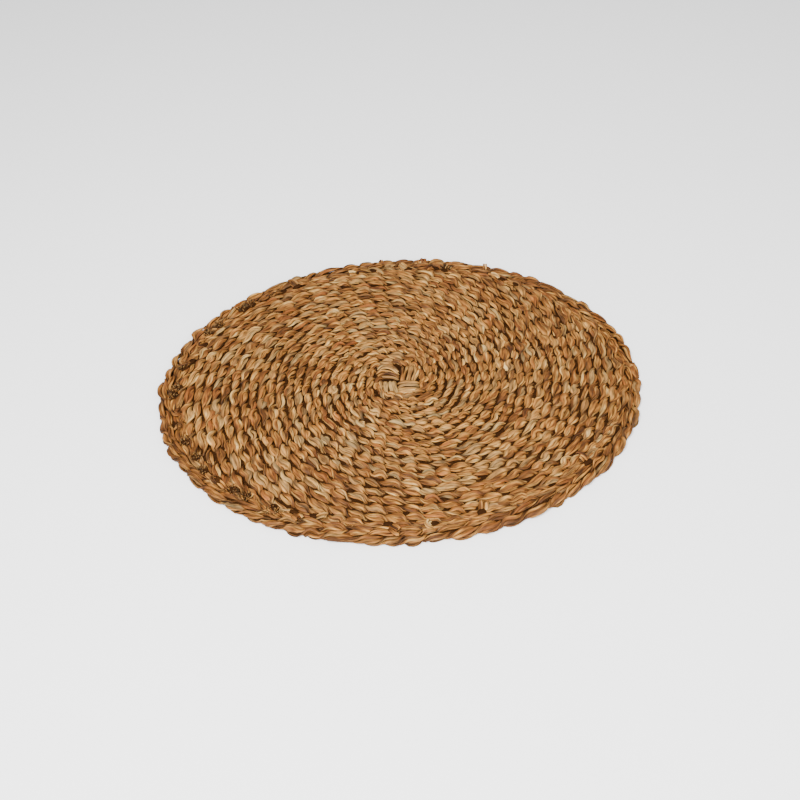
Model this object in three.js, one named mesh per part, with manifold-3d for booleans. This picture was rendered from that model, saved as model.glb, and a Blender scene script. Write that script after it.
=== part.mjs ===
// Oval placemat of dried plant stems, worked by hand on spokes.
//
// Four bundles of spokes cross over and under at the centre. They fan out below a pair of
// twined strands that go round them in one circular spiral. The outline is an oval, so the
// last rounds are whole only at its two long ends, where they run out under the border. The
// spokes' ends are turned down into that border as a rope, and trimmed off on top inside it.
//
// Millimetres, +Z up. The origin is at the middle of the underside, which lies flat. X runs
// along the oval's long axis.

import * as THREE from 'three';
import { mergeVertices } from 'three/addons/utils/BufferGeometryUtils.js';
import Module from 'manifold-3d';

const wasm = await Module();
wasm.setup();

// Driving dimensions of the whole mat
const HALF_LENGTH = 225;
const HALF_WIDTH = 180.5;
const BORDER_WIDTH = 27;
const CROSSING_RADIUS = 21.5;
const PIECE_GAP = 0.3;
const ROUND_SEGMENTS = 60;

// Field: rounds of twined strands, seen as ribs with a narrow flat crest
const FIELD_THICKNESS = 8;
const ROUND_PITCH = 8.4;
const RIB_HEIGHT = 2;
const CREST_START = 0.22;
const CREST_END = 0.58;
const FIELD_EDGE_POINTS = 124;

// Border: rope of turned-down spoke ends, one strand end for each spoke
const SPOKE_COUNT = 62;
const BORDER_SHOULDER = 7.6;
const ROPE_TOP = 9.4;
const ROPE_MIDDLE = { inset: 6.5, height: 4.6 };
const ROPE_RELIEF = 1.3;
const ROPE_LAY = [-0.45, 0.35, 1];
const ROPE_SLANT = 0.75;

// Trimmed ends, lying aslant on the border's inner shoulder
const STUB_RADIUS = 2.6;
const STUB_LENGTH = 12;
const STUB_INSET = BORDER_WIDTH - 7.8;
const STUB_SLANT = 40;
const STUB_SINK = 0.5;

// Crossing: bundles of stems side by side
const STEMS_PER_BUNDLE = 5;
const CENTRE_HALF_GAP = 1.6;
const BUNDLE_THICKNESS = 3.3;
const STEM_RIDGE = 0.6;
const LAYER_STEP = BUNDLE_THICKNESS + STEM_RIDGE + PIECE_GAP;
const BUNDLE_COUNT = 4;

const COLOURS = {
  stems: 0xb98a4e,
  weave: 0xb5834a,
  border: 0x9a6d3c,
};

// The outline's length up to each of many even steps of the ellipse's own angle.
const OUTLINE_STEPS = 1440;
const outlineLengths = [0];
for (let i = 1; i <= OUTLINE_STEPS; i += 1) {
  const [before, after] = [i - 1, i].map((step) => (step * 2 * Math.PI) / OUTLINE_STEPS);
  const chord = Math.hypot(
    HALF_LENGTH * (Math.cos(after) - Math.cos(before)),
    HALF_WIDTH * (Math.sin(after) - Math.sin(before)),
  );
  outlineLengths.push(outlineLengths[i - 1] + chord);
}
const OUTLINE_LENGTH = outlineLengths[OUTLINE_STEPS];

// A circle as long as the outline. The border is made on it, and then bent to the oval.
const EVEN_RADIUS = OUTLINE_LENGTH / (2 * Math.PI);

// The point that lies a share of the way round the oval outline, moved in by an inset.
function ovalPoint(share, inset) {
  const length = (share - Math.floor(share)) * OUTLINE_LENGTH;
  const step = Math.max(outlineLengths.findIndex((entry) => entry > length), 1);
  const [low, high] = [outlineLengths[step - 1], outlineLengths[step]];
  const angle = ((step - 1 + (length - low) / (high - low)) * 2 * Math.PI) / OUTLINE_STEPS;
  const outward = new THREE.Vector2(
    Math.cos(angle) / HALF_LENGTH,
    Math.sin(angle) / HALF_WIDTH,
  ).normalize();
  return new THREE.Vector2(HALF_LENGTH * Math.cos(angle), HALF_WIDTH * Math.sin(angle))
    .addScaledVector(outward, -inset);
}

// Makes a material with the dull sheen of dried stems.
function stemMaterial(colour) {
  return new THREE.MeshStandardMaterial({ color: colour, roughness: 0.75, metalness: 0 });
}

// Turns a closed geometry into a solid that can be joined and cut.
function toSolid(geometry) {
  const bare = geometry.clone();
  bare.deleteAttribute('normal');
  bare.deleteAttribute('uv');
  const merged = mergeVertices(bare, 1e-4);
  return new wasm.Manifold(new wasm.Mesh({
    numProp: 3,
    vertProperties: new Float32Array(merged.attributes.position.array),
    triVerts: new Uint32Array(merged.index.array),
  }));
}

// Turns a solid back into a geometry with flat-shaded faces.
function toGeometry(solid) {
  const mesh = solid.getMesh();
  const geometry = new THREE.BufferGeometry();
  geometry.setAttribute('position', new THREE.BufferAttribute(mesh.vertProperties, 3));
  geometry.setIndex(new THREE.BufferAttribute(mesh.triVerts, 1));
  geometry.computeVertexNormals();
  return geometry;
}

// Moves every point of a geometry by a function of its place, and returns the geometry.
function reshape(geometry, move) {
  const points = geometry.attributes.position;
  const point = new THREE.Vector3();
  for (let i = 0; i < points.count; i += 1) {
    point.fromBufferAttribute(points, i);
    move(point);
    points.setXYZ(i, point.x, point.y, point.z);
  }
  return geometry;
}

// Bends what was made round the even circle to the oval, keeping lengths along the outline.
function bendToOval(geometry) {
  return reshape(geometry, (point) => {
    const share = Math.atan2(point.y, point.x) / (2 * Math.PI);
    const bent = ovalPoint(share, EVEN_RADIUS - Math.hypot(point.x, point.y));
    point.x = bent.x;
    point.y = bent.y;
  });
}

// Revolves a profile of [radius, height] pairs about +Z.
function revolve(profile, segments) {
  const geometry = new THREE.LatheGeometry(
    profile.map(([radius, height]) => new THREE.Vector2(radius, height)),
    segments,
  );
  geometry.rotateX(Math.PI / 2);
  return geometry;
}

// The spiral ribs as a solid disc that reaches past both edges of the field. Each round of
// the spiral has three lines of points: a groove and the two edges of the rib's flat crest.
// After a full turn, line i of one round becomes line i + 3, so the rounds join up.
function spiralRibs() {
  const lines = [
    { across: 0, height: FIELD_THICKNESS - RIB_HEIGHT },
    { across: CREST_START, height: FIELD_THICKNESS },
    { across: CREST_END, height: FIELD_THICKNESS },
  ];
  const start = CROSSING_RADIUS - ROUND_PITCH * 1.5;
  const rounds = Math.ceil((HALF_LENGTH - BORDER_WIDTH - start) / ROUND_PITCH) + 1;
  const lineCount = rounds * lines.length + 1;
  const positions = [];
  const faces = [];
  const addPoint = (radius, turn, z) => {
    const angle = turn * 2 * Math.PI;
    positions.push(radius * Math.cos(angle), radius * Math.sin(angle), z);
    return positions.length / 3 - 1;
  };

  const grid = [];
  for (let step = 0; step < ROUND_SEGMENTS; step += 1) {
    const turn = step / ROUND_SEGMENTS;
    const column = [];
    for (let i = 0; i < lineCount + lines.length; i += 1) {
      const line = lines[i % lines.length];
      const round = Math.floor(i / lines.length) + line.across + turn;
      column.push(addPoint(start + round * ROUND_PITCH, turn, line.height));
    }
    grid.push(column);
  }

  const last = ROUND_SEGMENTS - 1;
  const next = (step, i) => (step < last ? grid[step + 1][i] : grid[0][i + lines.length]);
  for (let step = 0; step < ROUND_SEGMENTS; step += 1) {
    for (let i = 0; i + 1 < lineCount; i += 1) {
      const [a, b] = [grid[step][i], grid[step][i + 1]];
      const [c, d] = [next(step, i + 1), next(step, i)];
      faces.push(a, b, c, a, c, d);
    }
  }

  // The inner and outer edges, once round, with the step where the spiral meets itself
  const innerEdge = grid.map((column) => column[0]);
  const outerEdge = grid.map((column) => column[lineCount - 1]);
  for (let i = lines.length; i > 0; i -= 1) {
    innerEdge.push(grid[0][i]);
    outerEdge.push(grid[0][lineCount - 1 + i]);
  }
  const hub = addPoint(0, 0, lines[0].height);
  innerEdge.forEach((point, i) => {
    faces.push(hub, point, innerEdge[(i + 1) % innerEdge.length]);
  });

  const floorHub = addPoint(0, 0, -1);
  const floorEdge = outerEdge.map((point) => {
    const [x, y] = [positions[point * 3], positions[point * 3 + 1]];
    positions.push(x, y, -1);
    return positions.length / 3 - 1;
  });
  outerEdge.forEach((point, i) => {
    const j = (i + 1) % outerEdge.length;
    faces.push(point, floorEdge[i], floorEdge[j], point, floorEdge[j], outerEdge[j]);
    faces.push(floorHub, floorEdge[j], floorEdge[i]);
  });

  const geometry = new THREE.BufferGeometry();
  geometry.setAttribute('position', new THREE.Float32BufferAttribute(positions, 3));
  geometry.setIndex(faces);
  return geometry;
}

// The field: the circular ribs, trimmed to the oval inside the border and to the crossing.
function wovenField() {
  const edge = [];
  for (let i = 0; i < FIELD_EDGE_POINTS; i += 1) {
    edge.push(ovalPoint(i / FIELD_EDGE_POINTS, BORDER_WIDTH));
  }
  const outline = new THREE.Shape(edge);
  const hole = new THREE.Path();
  hole.absarc(0, 0, CROSSING_RADIUS + PIECE_GAP, 0, 2 * Math.PI);
  outline.holes.push(hole);
  const trim = new THREE.ExtrudeGeometry(outline, {
    depth: FIELD_THICKNESS + 1,
    bevelEnabled: false,
    curveSegments: ROUND_SEGMENTS / 2,
  });
  return toGeometry(toSolid(spiralRibs()).intersect(toSolid(trim)));
}

// The border before its ends are added: a ring whose outer part swells into a rope. Its
// points are pushed out from the rope's middle along a slanting line for each strand end,
// so the rope shows its lay, and the foot stays flat.
function ropeRing() {
  const inner = BORDER_WIDTH - PIECE_GAP;
  const section = [
    { inset: inner, height: 0, swell: 0 },
    { inset: 4.4, height: 0, swell: 0 },
    { inset: 1.7, height: 2.4, swell: 0.7 },
    { inset: 1.3, height: 5, swell: 1 },
    { inset: 3.1, height: 7.4, swell: 1 },
    { inset: 6.7, height: ROPE_TOP - 0.9, swell: 1 },
    { inset: 12, height: BORDER_SHOULDER - 0.6, swell: 0.5 },
    { inset: inner, height: BORDER_SHOULDER - 0.5, swell: 0 },
  ];
  const profile = section.map(({ inset, height }) => [EVEN_RADIUS - inset, height]);
  profile.push(profile[0]);
  const segments = SPOKE_COUNT * ROPE_LAY.length;
  const column = (point) => {
    const turn = Math.atan2(point.y, point.x) / (2 * Math.PI);
    return Math.round((turn < 0 ? turn + 1 : turn) * segments);
  };
  return reshape(revolve(profile, segments), (point) => {
    const radius = Math.hypot(point.x, point.y);
    const inset = EVEN_RADIUS - radius;
    const row = section.find((entry) => Math.abs(entry.inset - inset) < 0.01
      && Math.abs(entry.height - point.z) < 0.01);
    const push = row.swell * ROPE_RELIEF * ROPE_LAY[column(point) % ROPE_LAY.length];
    const away = Math.atan2(point.z - ROPE_MIDDLE.height, ROPE_MIDDLE.inset - inset);
    const slant = row.swell * ROPE_SLANT * ROPE_LAY.length * (point.z / ROPE_TOP);
    const angle = (2 * Math.PI * (column(point) + slant)) / segments;
    point.x = (radius + push * Math.cos(away)) * Math.cos(angle);
    point.y = (radius + push * Math.cos(away)) * Math.sin(angle);
    point.z += push * Math.sin(away);
  });
}

// One trimmed end: a short stem lying aslant on the border's shoulder.
function trimmedEnd(index) {
  const stub = new THREE.CylinderGeometry(STUB_RADIUS, STUB_RADIUS, STUB_LENGTH, 6);
  stub.rotateZ(THREE.MathUtils.degToRad(STUB_SLANT));
  stub.translate(EVEN_RADIUS - STUB_INSET, 0, BORDER_SHOULDER - STUB_SINK);
  stub.rotateZ((2 * Math.PI * (index + 0.5)) / SPOKE_COUNT);
  return stub;
}

// The border: rope and trimmed ends, bent to the oval and joined.
function plaitedBorder() {
  let solid = toSolid(bendToOval(ropeRing()));
  for (let i = 0; i < SPOKE_COUNT; i += 1) {
    solid = solid.add(toSolid(bendToOval(trimmedEnd(i))));
  }
  return toGeometry(solid);
}

// One bundle of stems. It runs along X on the +Y side of the centre, lies on top of its
// neighbour where x is negative, and dips through the middle gap to pass below the next.
function spokeBundle() {
  const length = 2 * (CROSSING_RADIUS + 1);
  const width = CROSSING_RADIUS - CENTRE_HALF_GAP + 1;
  const dip = CENTRE_HALF_GAP - PIECE_GAP;
  const route = [
    { x: -length / 2, lift: LAYER_STEP },
    { x: -dip, lift: LAYER_STEP },
    { x: dip, lift: 0 },
    { x: length / 2, lift: 0 },
  ];
  const steps = route.length - 1;
  const ridges = STEMS_PER_BUNDLE * 2;
  const block = new THREE.BoxGeometry(length, width, BUNDLE_THICKNESS, steps, ridges, 1);
  reshape(block, (point) => {
    const station = route[Math.round((point.x / length + 0.5) * steps)];
    const ridge = Math.round((point.y / width + 0.5) * ridges);
    const raised = point.z > 0 && ridge % 2 === 1;
    point.x = station.x;
    point.y += CENTRE_HALF_GAP + width / 2;
    point.z += BUNDLE_THICKNESS / 2 + station.lift + (raised ? STEM_RIDGE : 0);
  });
  const height = FIELD_THICKNESS + 4;
  const trim = revolve(
    [[0, -1], [CROSSING_RADIUS, -1], [CROSSING_RADIUS, height], [0, height]],
    ROUND_SEGMENTS,
  );
  return toGeometry(toSolid(block).intersect(toSolid(trim)));
}

// Adds one named piece to the mat.
function addPiece(mat, name, geometry, colour) {
  const piece = new THREE.Mesh(geometry, stemMaterial(colour));
  piece.name = name;
  mat.add(piece);
  return piece;
}

const placemat = new THREE.Group();
addPiece(placemat, 'woven_field', wovenField(), COLOURS.weave);
addPiece(placemat, 'plaited_border', plaitedBorder(), COLOURS.border);
for (let i = 0; i < BUNDLE_COUNT; i += 1) {
  const bundle = addPiece(placemat, `spoke_bundle_${i + 1}`, spokeBundle(), COLOURS.stems);
  bundle.rotation.z = (i * 2 * Math.PI) / BUNDLE_COUNT;
}

export default placemat;
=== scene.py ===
"""Oval placemat twined from dried plant stems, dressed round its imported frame.

The mat is built as it is made. Four bundles of flat stems cross at the centre, their ends
fan out as a layer of spokes, and a pair of twined strands goes round the spokes in one
circular spiral. The outline is an oval, so the last rounds run out under the border at the
mat's long ends. The spokes' ends are doubled over, worked into four twined rows round the
edge and trimmed on top of them.

Metres, +Z up, with the middle of the underside at the origin and X along the long axis.
"""

import logging
import math
from dataclasses import dataclass, field, replace
from enum import Enum
from functools import cached_property

import bpy
import numpy as np
from mathutils import Matrix, Vector


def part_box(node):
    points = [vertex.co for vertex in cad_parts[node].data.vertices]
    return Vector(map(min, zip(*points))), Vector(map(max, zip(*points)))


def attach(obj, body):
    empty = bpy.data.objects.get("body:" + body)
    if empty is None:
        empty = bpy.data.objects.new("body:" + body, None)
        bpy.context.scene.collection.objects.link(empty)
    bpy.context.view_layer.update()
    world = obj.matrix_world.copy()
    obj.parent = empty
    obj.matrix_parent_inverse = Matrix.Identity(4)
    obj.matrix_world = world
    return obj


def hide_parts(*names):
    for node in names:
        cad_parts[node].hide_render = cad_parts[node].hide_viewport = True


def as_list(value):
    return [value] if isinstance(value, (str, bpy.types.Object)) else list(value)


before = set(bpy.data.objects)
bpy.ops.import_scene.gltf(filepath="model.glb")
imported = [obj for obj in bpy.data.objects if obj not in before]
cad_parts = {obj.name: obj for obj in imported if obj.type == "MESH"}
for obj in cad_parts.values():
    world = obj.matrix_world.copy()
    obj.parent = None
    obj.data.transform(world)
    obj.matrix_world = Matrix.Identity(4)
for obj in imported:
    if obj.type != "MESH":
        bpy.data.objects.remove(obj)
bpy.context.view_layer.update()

LOG = logging.getLogger("placemat")
MM = 0.001
BODY = "root"
PHOTO_SIDE = 800
SEED = 7
FULL_TURN = 2 * math.pi
UPWARD = math.pi / 2


class Slot(Enum):
    """Material slots of the part's record."""

    WEAVE = "weave"
    BORDER = "border"
    STEMS = "stems"


class Trim(Enum):
    """How a spoke's end is finished on top of the border."""

    CUT = "cut off square"
    CURL = "curled round itself"
    FRAY = "worn to a brush of fibres"


class Lay(Enum):
    """Way in which the stitches of a row move as they go counter-clockwise."""

    OUTWARD = 1
    INWARD = -1


def linear_colour(code: str) -> tuple[float, float, float, float]:
    """Turns an sRGB hex colour into linear RGBA by the sRGB standard's curve.

    Args:
        code: Six hex digits after a hash sign.

    Returns:
        Linear red, green and blue from 0 to 1, and an alpha of 1.
    """
    parts = [int(code[i : i + 2], 16) / 255 for i in (1, 3, 5)]
    linear = [c / 12.92 if c <= 0.04045 else ((c + 0.055) / 1.055) ** 2.4 for c in parts]
    return (*linear, 1.0)


def ease(value: np.ndarray) -> np.ndarray:
    """Smooth step from 0 to 1: 3x squared less 2x cubed, held flat outside 0 to 1."""
    held = np.clip(value, 0.0, 1.0)
    return held * held * (3.0 - 2.0 * held)


def wander(rng: np.random.Generator, place: np.ndarray, wavelength: float) -> np.ndarray:
    """Smooth random values along a line.

    Random numbers from -1 to 1 stand one wavelength apart, and a smooth step joins each
    to the next.

    Args:
        rng: Seeded source of the random numbers.
        place: Distance of each point along the line.
        wavelength: Distance between the random numbers.

    Returns:
        One value from -1 to 1 for each point.
    """
    steps = (place - place.min()) / wavelength
    table = rng.uniform(-1, 1, int(steps.max()) + 2)
    low = np.floor(steps).astype(int)
    part = ease(steps - low)
    return table[low] * (1 - part) + table[low + 1] * part


def each_stitch(
    rng: np.random.Generator,
    stitch: np.ndarray,
    spread: float = 0.5,
    most: float = 1.2,
    change: float = 0.25,
) -> np.ndarray:
    """Random value for each stitch, which changes where the strand is out of sight.

    Args:
        rng: Seeded source of the random numbers.
        stitch: Number of the stitch at each station, with its part.
        spread: Usual size of the values.
        most: Largest size of the values.
        change: Last part of the stitch, in which the value changes to the next one's.

    Returns:
        One value for each station.
    """
    table = rng.normal(0, spread, int(stitch.max()) + 3).clip(-most, most)
    low = np.floor(stitch).astype(int)
    part = ease((stitch - low - (1 - change)) / change)
    return table[low] * (1 - part) + table[low + 1] * part


def unit(vectors: np.ndarray) -> np.ndarray:
    """Scales each row of an (n, 3) array to length 1."""
    return vectors / np.linalg.norm(vectors, axis=-1, keepdims=True)


def polar(radius: np.ndarray | float, angle: np.ndarray, height: np.ndarray | float) -> np.ndarray:
    """Points (n, 3) from radius, angle about +Z and height."""
    return np.stack([radius * np.cos(angle), radius * np.sin(angle), height + 0 * angle], axis=-1)


def facing(angle: np.ndarray, tilt: np.ndarray | float) -> np.ndarray:
    """Directions that look away from +Z at tilt 0 and straight up at a tilt of a quarter turn."""
    return polar(np.cos(tilt), angle, np.sin(tilt))


def add_node(
    tree: bpy.types.NodeTree,
    kind: str,
    settings: dict[int | str, object] | None = None,
    links: dict[int | str, bpy.types.NodeSocket] | None = None,
) -> bpy.types.Node:
    """Adds one shader node with its settings and links.

    Args:
        tree: Node tree that takes the node.
        kind: Blender's name of the node type.
        settings: Values by name. A name that the node has as an attribute is set there,
            and any other, or a number, is one of its input sockets.
        links: Output sockets of other nodes by the input that they feed.

    Returns:
        The new node.
    """
    node = tree.nodes.new(kind)
    for key, value in (settings or {}).items():
        if isinstance(key, str) and hasattr(node, key):
            setattr(node, key, value)
        else:
            node.inputs[key].default_value = value
    for key, socket in (links or {}).items():
        tree.links.new(socket, node.inputs[key])
    return node


@dataclass(frozen=True)
class Stray:
    """Smooth random departure of a value along a line.

    Attributes:
        size: Largest departure.
        length: Distance over which it changes, in the line's own measure.
    """

    size: float
    length: float

    def along(self, rng: np.random.Generator, place: np.ndarray) -> np.ndarray:
        """Departure at each place of a line."""
        return self.size * wander(rng, place, self.length)


@dataclass(frozen=True)
class StemFinish:
    """Dried, flattened plant stem, split and twisted by hand, left unvarnished.

    The eye gets a straw colour that changes from stem to stem, fine lengthwise fibres and a dull satin
    gloss on the ridges.
    Dark brown is painted in as painted shade where the stem dives out of sight and in the crevices.

    Attributes:
        name: Material name.
        tones: Place and sRGB colour of each stop of the ramp, from dark to pale.
        rust: Colour of the sun-browned lengths.
        grey: Colour of the weathered lengths.
        shade_colour: Colour of the painted shade deep in the crevices.
        roughness: Microfacet roughness of the ridges.
        specular: Share of the usual reflection that the dusty surface keeps.
        fibre_width: Distance between fibre bundles. Single fibres are finer than 0.2 mm
            and wouldn't show.
        fibre_length: Length over which a fibre keeps its colour.
        fibre_relief: Height of the bump that the fibres give.
        crease_relief: Height of the creases as a multiple of the fibres'.
        spot_size: Distance between the brown spots.
        noise: Usual lowest and highest value of the noise.
        crease_shade_and_highlight: Change of tone in the deepest crease and on the highest ridge, a
            painted shade and painted highlight that follow the bump.
        fibre_light: Brightness of the darkest and of the palest fibre.
        fibre_gloss: Change of roughness on the same two.
        rusting: Warmth where rust starts and where it is full, and its share there.
        greying: The same for the weathered grey.
        spotting: Noise where a spot starts and where it is full, and its share there.
        painted_shading: Shade value where the painted shade starts and where it is full, and its share
            there.
    """

    name: str
    tones: tuple[tuple[float, str], ...]
    rust: str = "#80421a"
    grey: str = "#8b744a"
    shade_colour: str = "#241204"
    roughness: float = 0.6
    specular: float = 0.16
    fibre_width: float = 0.95 * MM
    fibre_length: float = 10 * MM
    fibre_relief: float = 0.55 * MM
    crease_relief: float = 1.6
    spot_size: float = 4 * MM
    noise: tuple[float, float] = (0.3, 0.7)
    crease_shade_and_highlight: tuple[float, float] = (-0.36, 0.3)
    fibre_light: tuple[float, float] = (0.3, 1.46)
    fibre_gloss: tuple[float, float] = (0.12, -0.08)
    rusting: tuple[float, float, float] = (0.6, 1.1, 0.7)
    greying: tuple[float, float, float] = (0.42, 0.0, 0.75)
    spotting: tuple[float, float, float] = (0.6, 0.75, 0.35)
    painted_shading: tuple[float, float, float] = (0.1, 1.0, 0.9)

    def material(self) -> bpy.types.Material:
        """Builds the node material.

        Returns:
            The material, which reads the stem mesh's own fibre and tint attributes.
        """
        made = bpy.data.materials.new(self.name)
        made.use_nodes = True
        tree = made.node_tree
        tree.nodes.clear()
        fibre = add_node(tree, "ShaderNodeAttribute", {"attribute_name": "fibre"})
        tint = add_node(tree, "ShaderNodeAttribute", {"attribute_name": "tint"})
        split = add_node(tree, "ShaderNodeSeparateXYZ", links={0: tint.outputs["Vector"]})
        tone, warmth, shade = split.outputs[:3]
        streak = self._fibres(tree, fibre.outputs["Vector"], 1.0, 2.0)
        crease = self._fibres(tree, fibre.outputs["Vector"], 2.0, 1.0)
        place = add_node(tree, "ShaderNodeTexCoord").outputs["Object"]
        spot = add_node(
            tree, "ShaderNodeTexNoise", {"Scale": 1 / self.spot_size, "Detail": 2.0}, {"Vector": place}
        ).outputs[0]

        # Painted shade in the creases and painted highlight on the ridges, from the noise that also
        # drives the bump.
        lift = self._range(tree, crease, *self.noise, *self.crease_shade_and_highlight)
        toned = add_node(tree, "ShaderNodeMath", {"operation": "ADD"}, {0: tone, 1: lift})
        ramp = add_node(tree, "ShaderNodeValToRGB", links={0: toned.outputs[0]})
        stops = ramp.color_ramp.elements
        while len(stops) < len(self.tones):
            stops.new(0.5)
        for stop, (position, code) in zip(stops, self.tones):
            stop.position = position
            stop.color = linear_colour(code)

        worn = self._over(tree, ramp.outputs[0], self.rust, warmth, self.rusting)
        worn = self._over(tree, worn, self.grey, warmth, self.greying)
        worn = self._over(tree, worn, self.rust, spot, self.spotting)
        lines = self._range(tree, streak, *self.noise, *self.fibre_light)
        lined = add_node(
            tree, "ShaderNodeVectorMath", {"operation": "SCALE"}, {0: worn, "Scale": lines}
        )
        # Painted shade: the shade attribute mixes in the dark colour of the crevices.
        colour = self._over(tree, lined.outputs[0], self.shade_colour, shade, self.painted_shading)

        relief = add_node(
            tree,
            "ShaderNodeMath",
            {"operation": "MULTIPLY_ADD", 1: self.crease_relief},
            {0: crease, 2: streak},
        )
        bump = add_node(
            tree,
            "ShaderNodeBump",
            {"Strength": 0.9, "Distance": self.fibre_relief},
            {"Height": relief.outputs[0]},
        )
        dull, glossy = (self.roughness + change for change in self.fibre_gloss)
        gloss = self._range(tree, streak, *self.noise, dull, glossy)
        shader = add_node(
            tree,
            "ShaderNodeBsdfPrincipled",
            {"IOR": 1.45, "Specular IOR Level": self.specular},
            {"Base Color": colour, "Roughness": gloss, "Normal": bump.outputs[0]},
        )
        add_node(tree, "ShaderNodeOutputMaterial", links={"Surface": shader.outputs[0]})
        return made

    def _fibres(
        self, tree: bpy.types.NodeTree, fibre: bpy.types.NodeSocket, coarse: float, detail: float
    ) -> bpy.types.NodeSocket:
        """Draws noise stretched along the stem.

        Args:
            tree: Node tree that takes the nodes.
            fibre: Girth, length and number of the stem, in metres and whole numbers.
            coarse: Width of a fibre as a multiple of the fibre width.
            detail: Octaves of the noise.

        Returns:
            The noise.
        """
        width = coarse * self.fibre_width
        length = math.sqrt(coarse) * self.fibre_length
        stretch = (1 / width, 1 / length, 1.0)
        drawn = add_node(
            tree, "ShaderNodeVectorMath", {"operation": "MULTIPLY", 1: stretch}, {0: fibre}
        )
        return add_node(
            tree, "ShaderNodeTexNoise", {"Scale": 1.0, "Detail": detail}, {"Vector": drawn.outputs[0]}
        ).outputs[0]

    @staticmethod
    def _range(
        tree: bpy.types.NodeTree,
        value: bpy.types.NodeSocket,
        low: float,
        high: float,
        to_low: float,
        to_high: float,
    ) -> bpy.types.NodeSocket:
        """Carries a value from one range to another in a straight line, held at both ends."""
        settings = {1: low, 2: high, 3: to_low, 4: to_high}
        return add_node(tree, "ShaderNodeMapRange", settings, {0: value}).outputs[0]

    def _over(
        self,
        tree: bpy.types.NodeTree,
        under: bpy.types.NodeSocket,
        code: str,
        value: bpy.types.NodeSocket,
        limits: tuple[float, float, float],
    ) -> bpy.types.NodeSocket:
        """Lays a plain colour over another.

        Args:
            tree: Node tree that takes the nodes.
            under: Colour below.
            code: Plain colour, as an sRGB hex code.
            value: What says where it lies.
            limits: Value where it starts and where it is full, and its share there.

        Returns:
            The two colours together.
        """
        start, full, most = limits
        share = self._range(tree, value, start, full, 0.0, most)
        settings = {"data_type": "RGBA", 7: linear_colour(code)}
        return add_node(tree, "ShaderNodeMix", settings, {0: share, 6: under}).outputs[2]


@dataclass
class Route:
    """The way of one flattened stem, with one row for each station along it.

    A value that is the same all along may be given as one number.

    Attributes:
        middle: Middle of the stem, (n, 3).
        outward: Direction that its flat face looks, (n, 3).
        half_width: Half of its width, (n,).
        half_height: Half of its thickness, (n,).
        tone: Place on the finish's ramp, 0 dark to 1 pale, (n,).
        warmth: 0 weathered grey, 0.5 plain straw, 1 rust, (n,).
        shade: 0 unshaded to 1 dark; painted shade, and on worn tips also their own dark, (n,).
    """

    middle: np.ndarray
    outward: np.ndarray
    half_width: np.ndarray | float
    half_height: np.ndarray | float
    tone: np.ndarray | float
    warmth: np.ndarray | float
    shade: np.ndarray | float

    def __post_init__(self) -> None:
        """Gives every station its value where one number was given."""
        for name in ("half_width", "half_height", "tone", "warmth", "shade"):
            setattr(self, name, np.broadcast_to(getattr(self, name), len(self.middle)))

    def cut(self, first: int, last: int) -> "Route":
        """Returns the stations from first up to last as a route of its own."""
        return Route(*(getattr(self, name)[first:last] for name in self.__dataclass_fields__))

    def lengths(self) -> np.ndarray:
        """Distance of each station along the stem, (n,)."""
        step = np.linalg.norm(np.diff(self.middle, axis=0), axis=1)
        return np.concatenate([[0.0], np.cumsum(step)])

    def axes(self) -> tuple[np.ndarray, np.ndarray]:
        """Works out the section's own axes.

        The outward direction loses its part along the stem, and the one across is the
        cross product of the stem's direction and the outward one.

        Returns:
            Directions across and outward, each (n, 3).
        """
        tangent = unit(np.gradient(self.middle, axis=0))
        along = (self.outward * tangent).sum(1, keepdims=True)
        outward = unit(self.outward - tangent * along)
        return np.cross(tangent, outward), outward

    def tapered(self, stations: float, tip: float, dark: float) -> "Route":
        """Thins both ends and darkens them with painted shade, as they go out of sight.

        Args:
            stations: Number of stations over which an end grows to its full size.
            tip: Share of the size left at the very end.
            dark: Painted shade at the very end.

        Returns:
            A new route.
        """
        count = len(self.middle)
        from_end = np.minimum(np.arange(count), np.arange(count)[::-1])
        grown = ease(from_end / stations)
        size = tip + (1 - tip) * grown
        made = self.cut(0, count)
        # Painted shade towards the ends, full at the very end.
        made.shade = np.maximum(self.shade, dark * (1 - grown))
        made.half_width = self.half_width * size
        made.half_height = self.half_height * size
        return made


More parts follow.
